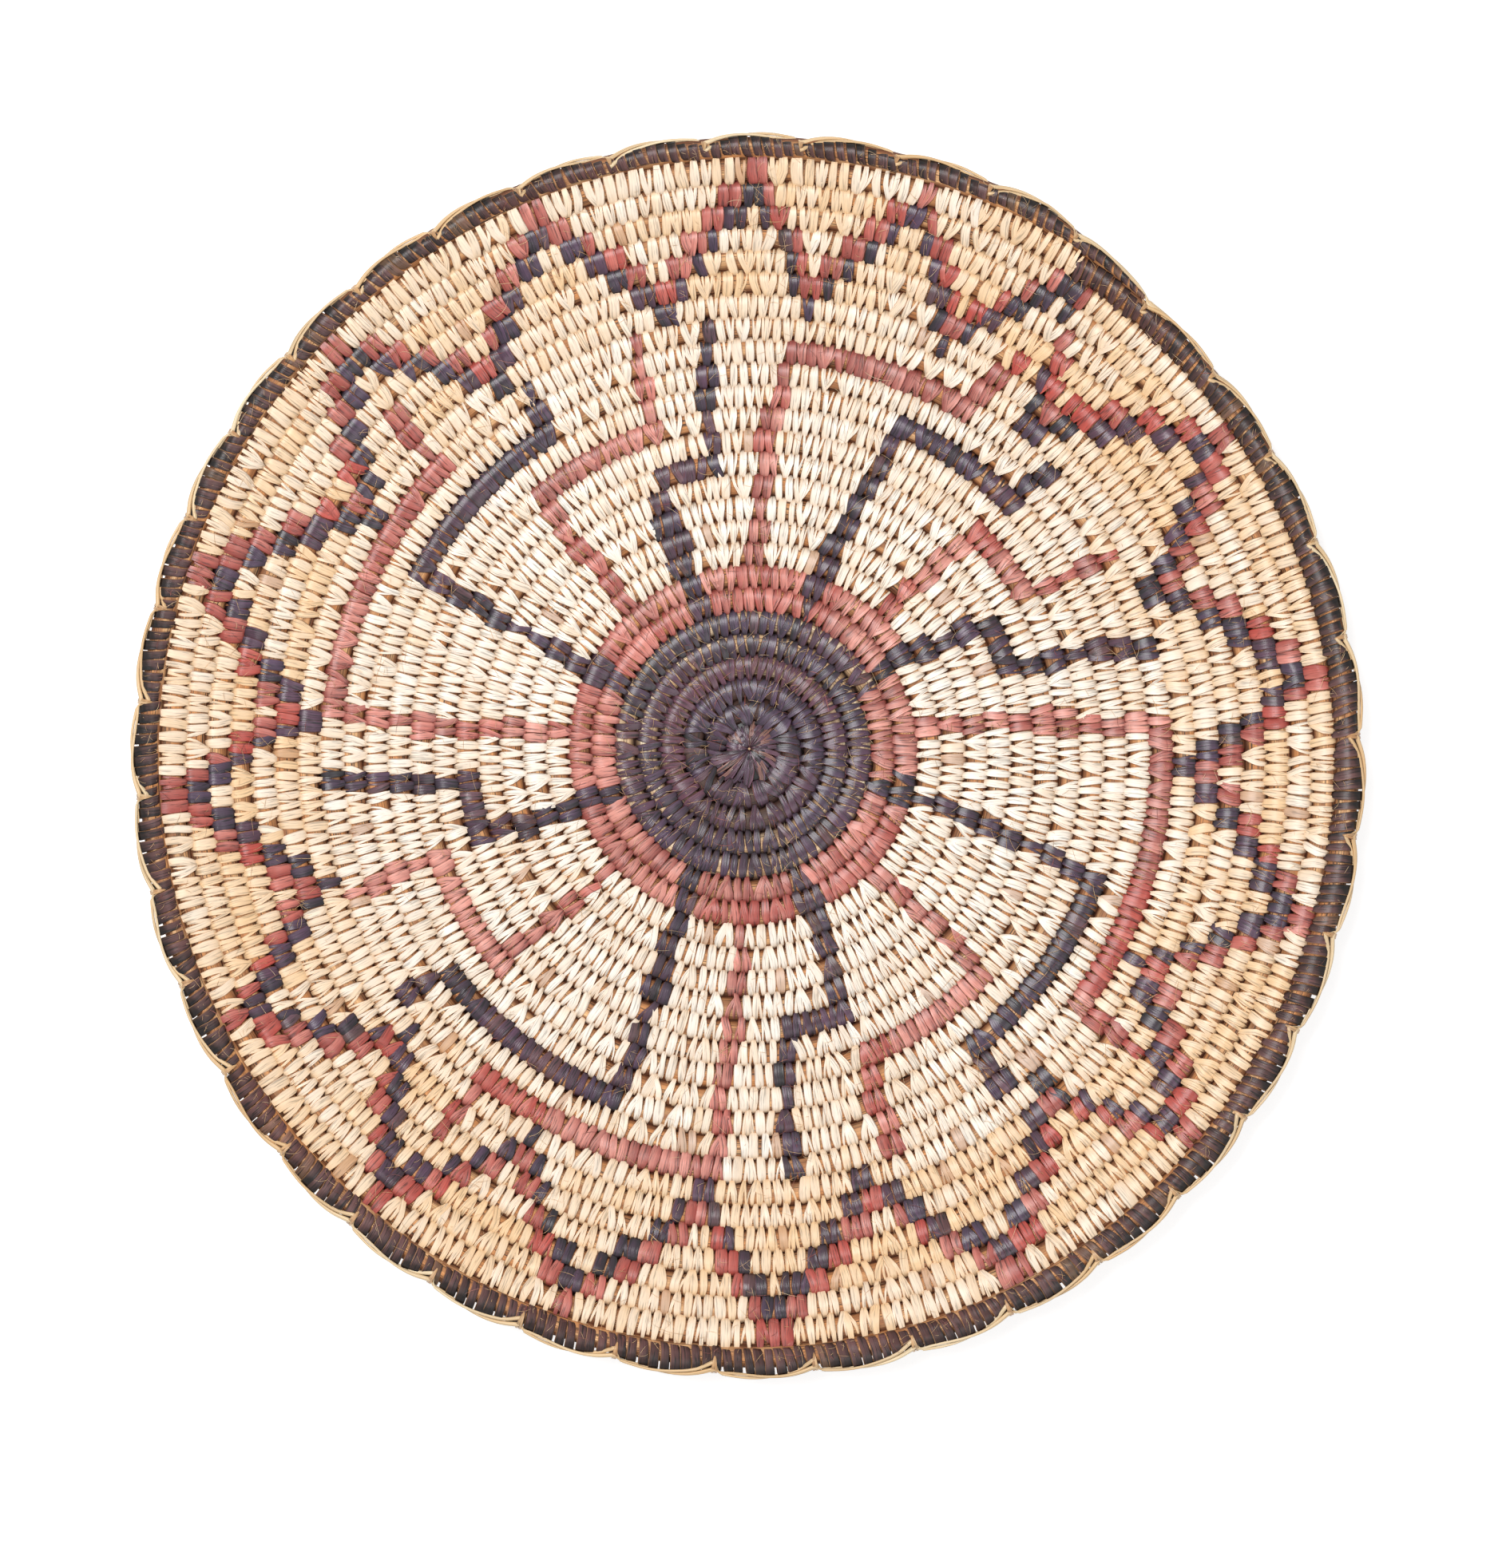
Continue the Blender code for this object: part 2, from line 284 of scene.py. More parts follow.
# %% Arms of the pattern
NATURAL, BLACK, RED = 0, 1, 2
BLACK_ARMS = [
    (0, 1, 353, 360), (2, 2, 353.5, 360), (3, 4, 355, 360), (5, 5, 356.5, 360), (6, 6, 0, 11.5),
    (7, 8, 8, 11.5), (9, 9, 8.5, 11.5), (10, 10, 9, 12), (11, 11, 9.5, 12.5), (12, 12, 10.5, 13),
    (0, 0, 316, 320.5), (1, 2, 316, 323), (3, 3, 316.5, 322), (4, 4, 317, 322.5),
    (5, 5, 318.5, 321.8), (6, 6, 319, 322.5), (7, 8, 319.5, 322.5), (9, 9, 320.5, 344.5),
    (10, 11, 342, 344.8),
    (0, 0, 273.5, 281), (1, 1, 274, 282), (2, 2, 273, 280.5), (3, 3, 274.5, 280.5),
    (4, 4, 274, 281), (5, 5, 276, 280), (6, 6, 277, 291), (7, 9, 288.2, 291.2),
    (10, 10, 289, 292.3), (11, 11, 289.3, 292), (12, 12, 290, 292.3),
    (0, 0, 230.5, 238.5), (1, 1, 231, 238.5), (2, 2, 230.5, 236.5), (3, 3, 232, 238),
    (4, 5, 233, 236.5), (6, 9, 233.5, 237), (10, 10, 234, 265.5), (11, 11, 263.3, 266),
    (12, 12, 264.2, 266.8),
    (0, 0, 186, 194), (1, 1, 186, 193.5), (2, 2, 187, 192), (3, 4, 186.5, 192.2),
    (5, 5, 187, 191.5), (6, 6, 187.5, 203), (7, 8, 200.4, 203.4), (9, 9, 201, 204),
    (10, 12, 201.6, 204.6),
    (0, 0, 137, 146), (1, 1, 137, 145), (2, 2, 135.5, 142), (3, 4, 136.8, 141.5),
    (5, 5, 135.8, 141.5), (6, 6, 137, 141), (7, 9, 136.8, 140.1), (10, 10, 137.5, 172.5),
    (11, 11, 170.2, 172.8), (12, 12, 171, 173.3),
    (0, 1, 90, 99), (2, 3, 92.2, 98.4), (4, 4, 94, 99.5), (5, 5, 94.8, 98.5), (6, 6, 95.2, 111),
    (7, 9, 109.2, 112.4), (10, 10, 109.7, 113.3), (11, 12, 109.9, 112.6),
    (0, 0, 38, 48), (1, 1, 37.5, 46), (2, 3, 40.2, 45.5), (4, 5, 42, 46.2), (6, 6, 43.5, 47.5),
    (7, 7, 44.5, 47.5), (8, 9, 45, 47.9), (10, 10, 45.5, 81.5), (11, 12, 78.5, 81.3)]
RED_ARMS = [
    (2, 3, 17, 22.2), (4, 5, 17.5, 22), (6, 6, 18, 22.5), (7, 7, 18.5, 23), (8, 8, 19, 23.5),
    (9, 9, 20.5, 23.5), (10, 11, 21, 24.3), (12, 12, 21.5, 66), (13, 13, 63, 66),
    (14, 14, 63.5, 66), (15, 15, 64.5, 66),
    (2, 2, 338.5, 345), (3, 3, 339, 344), (4, 6, 340, 344), (7, 7, 341.5, 358.5),
    (8, 9, 356.5, 359), (10, 11, 357, 359.4),
    (2, 2, 295, 301), (3, 3, 296, 301), (4, 5, 297, 301.5), (6, 6, 297.5, 301.5),
    (7, 7, 298.5, 302), (8, 8, 299, 302.5), (9, 10, 300.5, 303.5), (11, 11, 301.5, 330),
    (12, 12, 328.5, 330.5), (13, 13, 329, 331.5), (14, 14, 330, 332),
    (2, 2, 253.5, 259), (3, 3, 254, 260), (4, 4, 254.5, 259.5), (5, 7, 255.2, 259.4),
    (8, 8, 256, 281.5), (9, 9, 278.5, 282), (10, 11, 279.5, 282), (12, 12, 280, 282.5),
    (2, 3, 210, 215), (4, 5, 210.4, 214.6), (6, 6, 210.3, 214), (7, 8, 210, 213.7),
    (9, 9, 210.8, 213.8), (10, 11, 211.5, 214.4), (12, 12, 211.8, 251), (13, 14, 248.9, 251.2),
    (15, 15, 249.7, 251.5),
    (2, 3, 164.2, 168.8), (4, 5, 165, 169), (6, 7, 165.3, 169.2), (8, 8, 165.5, 191),
    (9, 9, 187.5, 190), (10, 11, 186.8, 190), (12, 12, 186.5, 189),
    (2, 2, 117.5, 122.5), (3, 4, 117, 121.9), (5, 6, 119, 122.9), (7, 8, 120, 123),
    (9, 10, 120.1, 123.7), (11, 11, 121, 123.8), (12, 12, 121.5, 157.5), (13, 13, 155, 158),
    (14, 15, 156.2, 158.2),
    (2, 3, 68.2, 74), (4, 4, 68.2, 71.8), (5, 6, 68, 71.8), (7, 7, 69.5, 72), (8, 8, 69.5, 98),
    (9, 11, 95.6, 98.5), (12, 12, 96, 98.7)]
print(len(BLACK_ARMS), "black and", len(RED_ARMS), "red stretches in sixteen bent arms")

# %% Star band of the pattern
STAR_PEAKS = [18.6, 43.5, 68, 90, 115, 136, 158, 180, 203.3, 225.7, 251.5, 274.5, 297, 314, 331,
              352.6]
STAR_VALLEYS = [28.6, 55, 76, 102, 123.5, 147, 168, 190.5, 212, 239.5, 262.5, 286, 304, 322,
                337.5, 364.5]
STAR_LAP = 14
STAR_STEPS = 5
STAR_SHIFT_FROM = 333


def flanks():
    """Each flank of the star, as (bearing of its valley, bearing of its peak)."""
    before = [STAR_VALLEYS[-1] - 360] + STAR_VALLEYS[:-1]
    for low, peak, high in zip(before, STAR_PEAKS, STAR_VALLEYS):
        yield low, peak
        yield high, peak


def chart_colours(laps):
    """The colour of the splint at each place along the coil."""
    turned = laps - CENTRE_END
    lap = np.floor(turned + 1e-9).astype(int)
    bearing = (turned - lap) * 360
    colours = np.where(lap < 0, BLACK, np.where(lap < 2, RED, NATURAL))
    for arms, colour in ((RED_ARMS, RED), (BLACK_ARMS, BLACK)):
        for first, last, start, end in arms:
            inside = (lap >= first) & (lap <= last) & (bearing >= start) & (bearing < end)
            colours[inside] = colour
    star_lap = lap + (bearing > STAR_SHIFT_FROM)
    for valley, peak in flanks():
        step = (peak - valley) / STAR_STEPS
        for turn in (0, 360):
            climbed = (bearing + turn - valley) / step
            level = star_lap - STAR_LAP
            near = (climbed > -0.5) & (climbed < STAR_STEPS + 0.5)
            red = near & (level >= 0) & (level <= STAR_STEPS) & (np.abs(climbed - level) <= 0.5)
            under = near & (level >= -1) & (level < STAR_STEPS)
            black = under & (np.abs(climbed - level - 1) <= 0.5)
            colours[black & (colours == NATURAL)] = BLACK
            colours[red & (colours == NATURAL)] = RED
    colours[laps > BAND_END] = BLACK
    return colours


print("the star has", len(STAR_PEAKS), "points")

# %% [markdown]
# ## Splint finishes
# Split leaf is pale cream when it is new, turns honey coloured outwards where the strips were
# coarser, and takes black and brick red dye unevenly. It has fine lines along its length and a
# soft sheen. A picture of leaf would repeat itself, so the lines come from noise. Each stitch
# carries a `tone`, which says how light, how warm and how brown it is, and a `grain`, which is
# its own place across and along, so that the fine lines follow it. The broad lines darken and
# lighten the colour, and the narrow ones are cracks.


# %% Splint material
LINES_ACROSS, LINES_ALONG = 2200, 160
RELIEF_STRENGTH = 0.7
RELIEF_DEPTH = 0.12 * MM


def splint_finish(name, dark, light, warm, brown, roughness, streaks, sheen=0.5):
    material = new_material(name)
    tone = add_node(material, "ShaderNodeAttribute", attribute_name="tone")
    parts = add_node(material, "ShaderNodeSeparateColor")
    join(material, tone.outputs["Color"], parts.inputs["Color"])
    colour = None
    for share, shade in (("Red", light), ("Green", warm), ("Blue", brown)):
        mix = add_node(material, "ShaderNodeMix", data_type="RGBA")
        join(material, parts.outputs[share], mix.inputs["Factor"])
        if colour is None:
            mix.inputs["A"].default_value = (*linear(*dark), 1)
        else:
            join(material, colour, mix.inputs["A"])
        mix.inputs["B"].default_value = (*linear(*shade), 1)
        colour = mix.outputs["Result"]

    grain = add_node(material, "ShaderNodeAttribute", attribute_name="grain")
    stretch = add_node(material, "ShaderNodeMapping")
    stretch.inputs["Scale"].default_value = (LINES_ACROSS, LINES_ALONG, 1)
    lines = add_node(material, "ShaderNodeTexNoise")
    lines.inputs["Scale"].default_value = 1
    lines.inputs["Detail"].default_value = 2
    join(material, grain.outputs["Vector"], stretch.inputs["Vector"])
    join(material, stretch.outputs["Vector"], lines.inputs["Vector"])
    for low, high, darkest, palest in ((0.3, 0.7, 1 - streaks, 1 + streaks / 2),
                                       (0.36, 0.42, 1 - 1.6 * streaks, 1)):
        spread = add_node(material, "ShaderNodeMapRange")
        spread.inputs["From Min"].default_value = low
        spread.inputs["From Max"].default_value = high
        spread.inputs["To Min"].default_value = darkest
        spread.inputs["To Max"].default_value = palest
        join(material, lines.outputs["Fac"], spread.inputs["Value"])
        lined = add_node(material, "ShaderNodeMix", data_type="RGBA", blend_type="MULTIPLY")
        lined.inputs["Factor"].default_value = 1
        join(material, colour, lined.inputs["A"])
        join(material, spread.outputs["Result"], lined.inputs["B"])
        colour = lined.outputs["Result"]

    relief = add_node(material, "ShaderNodeBump")
    relief.inputs["Strength"].default_value = RELIEF_STRENGTH
    relief.inputs["Distance"].default_value = RELIEF_DEPTH
    join(material, lines.outputs["Fac"], relief.inputs["Height"])
    skin = add_node(material, "ShaderNodeBsdfPrincipled")
    skin.inputs["Roughness"].default_value = roughness
    skin.inputs["Specular IOR Level"].default_value = sheen
    join(material, colour, skin.inputs["Base Color"])
    join(material, relief.outputs["Normal"], skin.inputs["Normal"])
    end = add_node(material, "ShaderNodeOutputMaterial")
    join(material, skin.outputs["BSDF"], end.inputs["Surface"])
    return material


# Each finish: its dark, light, warm and brown, then its roughness, streaks and sheen.
FINISHES = {
    NATURAL: splint_finish("natural_leaf", (240, 220, 198), (255, 248, 237), (240, 202, 156),
                           (180, 124, 84), 0.36, 0.18),
    BLACK: splint_finish("black_dyed_leaf", (5, 2, 6), (80, 58, 84), (100, 56, 72),
                         (156, 108, 88), 0.29, 0.5),
    RED: splint_finish("red_dyed_leaf", (144, 70, 62), (240, 168, 152), (190, 60, 46),
                       (110, 62, 54), 0.34, 0.32)}
RIM_FINISH = splint_finish("rim_dyed_leaf", (8, 3, 5), (108, 74, 74), (92, 50, 46),
                           (196, 150, 112), 0.34, 0.5, 0.35)
GRASS_FINISH = splint_finish("grass_bundle", (176, 118, 72), (236, 190, 138), (206, 138, 80),
                             (112, 66, 42), 0.6, 0.5)
PALE_GRASS_FINISH = splint_finish("pale_grass_bundle", (206, 168, 126), (248, 230, 198),
                                  (222, 180, 132), (66, 42, 34), 0.6, 0.4)
CANE_FINISH = splint_finish("cane_skin", (222, 190, 146), (242, 220, 182), (218, 172, 116),
                            (176, 126, 84), 0.4, 0.15)
for finish in (*FINISHES.values(), RIM_FINISH, GRASS_FINISH, PALE_GRASS_FINISH, CANE_FINISH):
    print(finish.name, "has", len(finish.node_tree.nodes), "nodes")

# %% [markdown]
# ## One stitch
# On the face a stitch is a long leaf: a round inner end that lies over the lap below, widest
# soon after it, and a narrow outer end that the next lap's stitches cover. It goes on round the
# bundle and comes back underneath, so it is a closed band. A bevelled curve would do, but its
# width is hard to steer. So it is made from an open cylinder on its side, which is given a
# thickness, narrowed to rounded shoulders, and pushed to the shape of a path, one station at a
# time. A thinner one serves for the split stitches, and one with a pointed inner end for the rim.

# %% Paths of the stitches: outwards, upwards (mm) and share of the full width
LEAF_PATH = [(-4.8, 0.2, 0.4), (-5.05, 1.5, 0.58), (-4.65, 2.2, 0.8), (-3.45, 2.7, 0.96),
             (-1.8, 3.1, 1.0), (0.0, 3.24, 1.0), (1.7, 2.96, 0.93), (2.85, 2.3, 0.8),
             (3.6, 0.9, 0.55), (3.3, -0.6, 0.45), (2.2, -1.75, 0.66), (0.2, -2.12, 0.9),
             (-1.45, -2.12, 1.0), (-3.0, -1.95, 0.95), (-4.1, -1.5, 0.7), (-4.6, -0.7, 0.35)]
SLIVER_PATH = [(-4.6, 0.2, 0.4), (-4.4, 2.0, 0.8), (-2.7, 2.85, 1.0), (-0.4, 3.14, 1.0),
               (1.6, 2.86, 0.9), (3.1, 1.9, 0.7), (3.5, 0.0, 0.6), (2.6, -1.6, 0.8),
               (0.2, -2.05, 1.0), (-4.0, -1.6, 0.9)]
RIM_PATH = [(-4.8, 0.0, 0.3), (-4.9, 1.6, 0.42), (-4.45, 2.2, 0.62), (-3.3, 2.75, 0.9),
            (-1.6, 3.14, 1.0), (0.3, 3.24, 1.0), (2.0, 2.8, 1.02), (3.2, 1.75, 1.06),
            (3.75, 0.2, 1.1), (3.3, -1.3, 1.06), (2.0, -2.3, 1.0), (0.4, -2.6, 1.0),
            (-1.4, -2.5, 1.0), (-2.9, -2.2, 0.9), (-4.0, -1.7, 0.6), (-4.7, -1.1, 0.3)]
TIE_PATH = [(0.0, 0.5, 0.3), (0.2, 3.0, 0.4), (1.0, 3.6, 0.6), (2.1, 3.8, 0.8), (3.2, 3.1, 0.9),
            (3.8, 1.3, 0.9), (3.9, -0.7, 0.9), (3.4, -1.9, 0.9), (2.2, -2.8, 0.8),
            (0.8, -2.9, 0.4)]
print(len(LEAF_PATH), "stations round a whole stitch,", len(SLIVER_PATH), "round a thin one")

# %% Model a stitch
SPLINT_WIDTH = 2.9 * MM
SPLINT_THICKNESS = 0.32 * MM
SHOULDER_SHARE = 0.84
CYLINDER_RADIUS = 3 * MM


def pick(piece, numbers):
    """Selects the points of a piece by their numbers, and nothing else."""
    shape = bmesh.from_edit_mesh(piece.data)
    for point in shape.verts:
        point.select = point.index in numbers
    shape.select_flush(True)
    bmesh.update_edit_mesh(piece.data)


def stations_of(band, count):
    """The points at each station of the cylinder, with the direction that they lie in."""
    near = math.cos(math.pi / count / 2)
    for number in range(count):
        angle = math.pi - number * math.tau / count
        across, up = math.cos(angle), math.sin(angle)
        yield across, up, {point.index for point in band.data.vertices
                           if (point.co.y * across + point.co.z * up)
                           / math.hypot(point.co.y, point.co.z) > near}


def model_band(name, path, width=SPLINT_WIDTH, thickness=SPLINT_THICKNESS):
    """A flat splint with rounded shoulders, closed round the path, as a mesh to copy from."""
    bpy.ops.object.select_all(action="DESELECT")
    bpy.ops.mesh.primitive_cylinder_add(vertices=len(path), radius=CYLINDER_RADIUS, depth=width,
                                        end_fill_type="NOTHING", rotation=(0, math.pi / 2, 0))
    band = bpy.context.object
    band.name = name
    bpy.ops.object.transform_apply(location=True, rotation=True, scale=True)
    wall = band.modifiers.new("thickness", "SOLIDIFY")
    wall.thickness = thickness
    wall.offset = -1
    bpy.ops.object.modifier_apply(modifier="thickness")
    outside = {point.index for point in band.data.vertices
               if math.hypot(point.co.y, point.co.z) > CYLINDER_RADIUS - thickness / 2}
    stations = list(stations_of(band, len(path)))
    bpy.ops.object.mode_set(mode="EDIT")
    pick(band, outside)
    bpy.ops.transform.resize(value=(SHOULDER_SHARE, 1, 1), center_override=(0, 0, 0))
    for (across, up, numbers), (outwards, upwards, share) in zip(stations, path):
        pick(band, numbers)
        bpy.ops.transform.resize(value=(share, 1, 1), center_override=(0, 0, 0))
        bpy.ops.transform.translate(value=(0, outwards * MM - CYLINDER_RADIUS * across,
                                           upwards * MM - CYLINDER_RADIUS * up))
    bpy.ops.mesh.select_all(action="SELECT")
    bpy.ops.mesh.normals_make_consistent(inside=False)
    bpy.ops.object.mode_set(mode="OBJECT")
    points = np.array([tuple(point.co) for point in band.data.vertices])
    faces = np.array([tuple(face.vertices) for face in band.data.polygons])
    within = np.array([point.index not in outside for point in band.data.vertices])
    bpy.data.objects.remove(band)
    print(f"{name}: {len(faces)} faces, {np.ptp(points[:, 1]) / MM:.1f} mm long")
    return points, faces, within


LEAF = model_band("leaf_stitch", LEAF_PATH)
SLIVER = model_band("sliver_stitch", SLIVER_PATH)
RIM_LEAF = model_band("rim_stitch", RIM_PATH)
TIE_BAND = model_band("tie_loop", TIE_PATH, width=1.0 * MM, thickness=0.3 * MM)

# %% [markdown]
# ## Copies of a stitch
# No two stitches are alike: a hand sets each a little wider, closer, more slanted or more bowed
# than the last. An array would make them all the same, and thousands of single objects would be
# slow. So all copies of a row are laid out at once, each with its own small changes. These are
# drawn from a seeded dice, so that every run gives the same tray.

# %% Lay copies in a row
DICE = np.random.default_rng(1932)
OUTER_REACH = 3.6 * MM
INNER_REACH = 4.4 * MM
BOW_REACH = 4 * MM
HOOK_FROM = 0.8 * MM
HOOK_LENGTH = 5 * MM
GRAIN_PLACES = 100


def each(value, count):
    return np.broadcast_to(np.asarray(value, float), (count,))[:, None]


def hand(strays, rough=0, count=None):
    """How far each stitch strays from the plain one, and how much more where it is rough."""
    spins = DICE.standard_normal((len(strays), count or len(rough))).clip(-2, 2)
    return {name: (fine + coarse * rough) * spin
            for (name, fine, coarse), spin in zip(strays, spins)}


def lay(stitch, along, width, lean=0, bow=0, tip=0, reach=0, lift=0, roll=0, out=0, hook=0):
    """Copies of a stitch on the straight row, with the place of each point on its own stitch."""
    points = stitch[0]
    across, outwards, upwards = (points[:, axis][None, :] for axis in range(3))
    count = len(along)
    outer = np.clip(outwards / OUTER_REACH, 0, 1)
    inner = np.clip(-outwards / INNER_REACH, 0, 1)
    x = across * each(width, count) / SPLINT_WIDTH * (1 + each(tip, count) * outer)
    y = outwards * (1 + each(reach, count) * inner) * (1 + each(out, count) * outer)
    z = upwards * (1 + each(lift, count)) + x * each(roll, count)
    seed = DICE.uniform(0, GRAIN_PLACES, count)[:, None]
    grain = np.stack([x, y, np.broadcast_to(seed, x.shape)], -1)
    x = x + each(along, count) + each(lean, count) * outwards
    x = x + each(bow, count) * (1 - (outwards / BOW_REACH) ** 2)
    x = x + each(hook, count) * np.clip((HOOK_FROM - outwards) / HOOK_LENGTH, 0, 1) ** 1.2
    return np.stack([x, y, z], -1), stitch, grain


print("a stitch's own changes: width, lean, bow, tip, reach, lift, roll, out and hook")

# %% [markdown]
# ## One mesh for each colour
# A splint is darker down in the creases between the stitches, which is painted shade, tan where
# its edge is cut, and paler along one side and darker along the other, which is painted light and
# shade.
# All three go into the tone of its points, which the finish reads.
# The copies of one colour then become one mesh, wound onto the spiral. Each piece takes the
# place of its own length of coil in the frame.

# %% Shade and paint
CREST_HEIGHT = 3.05 * MM
CREASE_SHADE_DEPTH = 1.5 * MM
# Painted shade: how much darker, and for natural leaf how much more tan, a splint turns in the
# creases.
LEAF_CREASE_SHADE = (-0.35, 0.45, 0.12)
DYED_CREASE_SHADE = (-0.9, -0.3, 0)
CUT_EDGE_TONE = (-0.2, 0, 0.8)
# Painted light and shade: one side of every splint is made paler and the other darker.
SIDE_LIGHT_TONE = (0.25, 0, 0.03)


def shaded(tone, laid, grain, within, crease_shade):
    """The tone: painted shade in the creases, tan where cut, one edge painted lit and the other
    shaded.
    """
    # How deep a point lies below the crest, which sets how much painted shade it gets.
    depth = np.clip((CREST_HEIGHT - laid[..., 2:3]) / CREASE_SHADE_DEPTH, 0, 1)
    # Painted light and shade across the splint, by the sign of its own place across.
    edge = np.sign(grain[..., :1]) * SIDE_LIGHT_TONE
    return np.clip(tone[:, None] + edge + depth * crease_shade + within[:, None] * CUT_EDGE_TONE, 0, 1)


def paint(mesh, tones, grains, finish):
    """Gives a mesh the tone and the grain that its finish reads, and smooth faces."""
    tones = np.c_[tones.clip(0, 1), np.ones(len(tones))]
    for name, kind, field, values in (("tone", "FLOAT_COLOR", "color", tones),
                                      ("grain", "FLOAT_VECTOR", "vector", grains)):
        layer = mesh.attributes.new(name, kind, "POINT")
        layer.data.foreach_set(field, values.astype(np.float32).ravel())
    mesh.polygons.foreach_set("use_smooth", np.ones(len(mesh.polygons), bool))
    mesh.materials.append(finish)
    mesh.update()


print(f"creases start {CREST_HEIGHT / MM:.2f} mm up and are {CREASE_SHADE_DEPTH / MM:.1f} mm deep")

# %% Build a piece from copies
CRISP_ANGLE = math.radians(40)


def build_piece(name, batches, finish, crease_shade=DYED_CREASE_SHADE, place=wind):
    """One mesh of many copies: each batch is what lay gives, with the tone of each copy."""
    points, loops, grains, tones = [], [], [], []
    first = 0
    for laid, (_, faces, within), grain, tone in batches:
        count, size = laid.shape[:2]
        if count == 0:
            continue
        points.append(laid.reshape(-1, 3))
        offsets = first + np.arange(count)[:, None, None] * size
        loops.append((faces[None] + offsets).reshape(-1, 4))
        grains.append(grain.reshape(-1, 3))
        tones.append(shaded(tone, laid, grain, within, crease_shade).reshape(-1, 3))
        first += count * size
    points, loops = place(np.concatenate(points)), np.concatenate(loops)
    mesh = bpy.data.meshes.new(name)
    mesh.vertices.add(len(points))
    mesh.vertices.foreach_set("co", points.astype(np.float32).ravel())
    mesh.loops.add(loops.size)
    mesh.loops.foreach_set("vertex_index", loops.astype(np.int32).ravel())
    mesh.polygons.add(len(loops))
    mesh.polygons.foreach_set("loop_start", np.arange(0, loops.size, 4, dtype=np.int32))
    mesh.update(calc_edges=True)
    paint(mesh, np.concatenate(tones), np.concatenate(grains), finish)
    mesh.validate()
    piece = bpy.data.objects.new(name, mesh)
    bpy.context.scene.collection.objects.link(piece)
    bpy.ops.object.select_all(action="DESELECT")
    piece.select_set(True)
    bpy.context.view_layer.objects.active = piece
    bpy.ops.object.shade_smooth_by_angle(angle=CRISP_ANGLE)
    print(f"{name}: {len(loops) * 2} triangles")
    return piece


def dress(piece, slot, *nodes):
    """The piece moves with the tray and takes the place of the frame's nodes. The slot is not
    used.
    """
    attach(piece, "root")
    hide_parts(*nodes)


# %% [markdown]
# ## The plan of the stitches
# Each stitch dips between two stitches of the lap below. So the plan grows from the middle, turn
# by turn: every gap between two stitches of one turn is the root of a stitch of the next. The
# laps grow outwards while the stitches keep their pitch, so now and then two stitches share one
# gap and open outwards like a V, or a gap is left out. Placing them at a steady pitch alone would
# be simpler, but then the rows would not lock into each other. The rim is sewn at its own pitch.

# %% How a turn grows from the one below
PITCHES = [(COIL_START, 2.0), (CENTRE_END, 2.9), (CENTRE_END + 0.01, 3.1), (RING_END, 3.0),
           (FIELD_END, 2.95), (WALL_END, 3.25), (BAND_END, 3.55)]
PITCH_WAVER = 0.2
PAIR_SPREAD = 0.45
EASING_ROUNDS = 4
EASING = 0.5
HAND_WAVER = 0.07


def pitch_at(laps):
    """How far apart the sewer sets the stitches at a place along the coil."""
    return np.interp(laps, [lap for lap, _ in PITCHES], [pitch for _, pitch in PITCHES]) * MM


def next_turn(lower):
    """The next turn's stitches, and the gap of the turn below that each of them starts from."""
    gaps = (lower[1:] + lower[:-1]) / 2 + 1
    room = np.gradient(run_at(gaps))
    waver = DICE.uniform(-PITCH_WAVER, PITCH_WAVER, len(gaps))
    due = np.cumsum(room / pitch_at(gaps)) + 0.5 + waver
    counts = np.diff(np.floor(np.maximum.accumulate(due)).astype(int), prepend=0)
    roots = np.repeat(gaps, counts)
    number = np.arange(len(roots)) - np.repeat(np.cumsum(counts) - counts, counts)
    apart = np.repeat(np.gradient(gaps), counts) * PAIR_SPREAD
    laps = roots + apart * (number - (np.repeat(counts, counts) - 1) / 2)
    for _ in range(EASING_ROUNDS):
        laps[1:-1] += EASING * ((laps[2:] + laps[:-2]) / 2 - laps[1:-1])
    laps += HAND_WAVER * np.gradient(laps) * DICE.standard_normal(len(laps)).clip(-2, 2)
    return laps, roots


print(f"the pitch grows from {pitch_at(COIL_START) / MM:.1f} to {pitch_at(BAND_END) / MM:.2f} mm")

# %% Plan of all the stitches
BAND_MIDDLE = WALL_END + 3.5
RIM_SEWN_END = TIP_END - 0.001
ROWS = [("centre", COIL_START, CENTRE_END), ("ring", CENTRE_END, RING_END),
        ("field", RING_END, FIELD_END), ("wall", FIELD_END, WALL_END),
        ("band_lower", WALL_END, BAND_MIDDLE), ("band_upper", BAND_MIDDLE, BAND_END)]
FIRST_STITCH = COIL_START + 0.02
FIRST_TURN_STITCHES = 30
LONGEST_HOOK = 1.8 * MM
RIM_PITCH = 3.25 * MM
RIM_WAVER = 0.08

turn = np.linspace(FIRST_STITCH, FIRST_STITCH + 1, FIRST_TURN_STITCHES, endpoint=False)
all_laps, all_roots = turn, turn
while all_laps[-1] < BAND_END:
    fresh, fresh_roots = next_turn(turn)
    all_laps = np.concatenate([all_laps, fresh])
    all_roots = np.concatenate([all_roots, fresh_roots])
    turn = np.concatenate([turn[-1:], fresh])
all_places = run_at(all_laps)
all_room = np.gradient(all_places)
all_hooks = (run_at(all_roots) - all_places).clip(-LONGEST_HOOK, LONGEST_HOOK)
PLAN = {}
for name, start, end in ROWS:
    own = (all_laps >= start) & (all_laps < end)
    PLAN[name] = all_places[own], all_room[own], all_hooks[own]
rim_start, rim_end = run_at(BAND_END), run_at(RIM_SEWN_END)
rim_count = int((rim_end - rim_start) / RIM_PITCH)
rim_room = (rim_end - rim_start) / rim_count
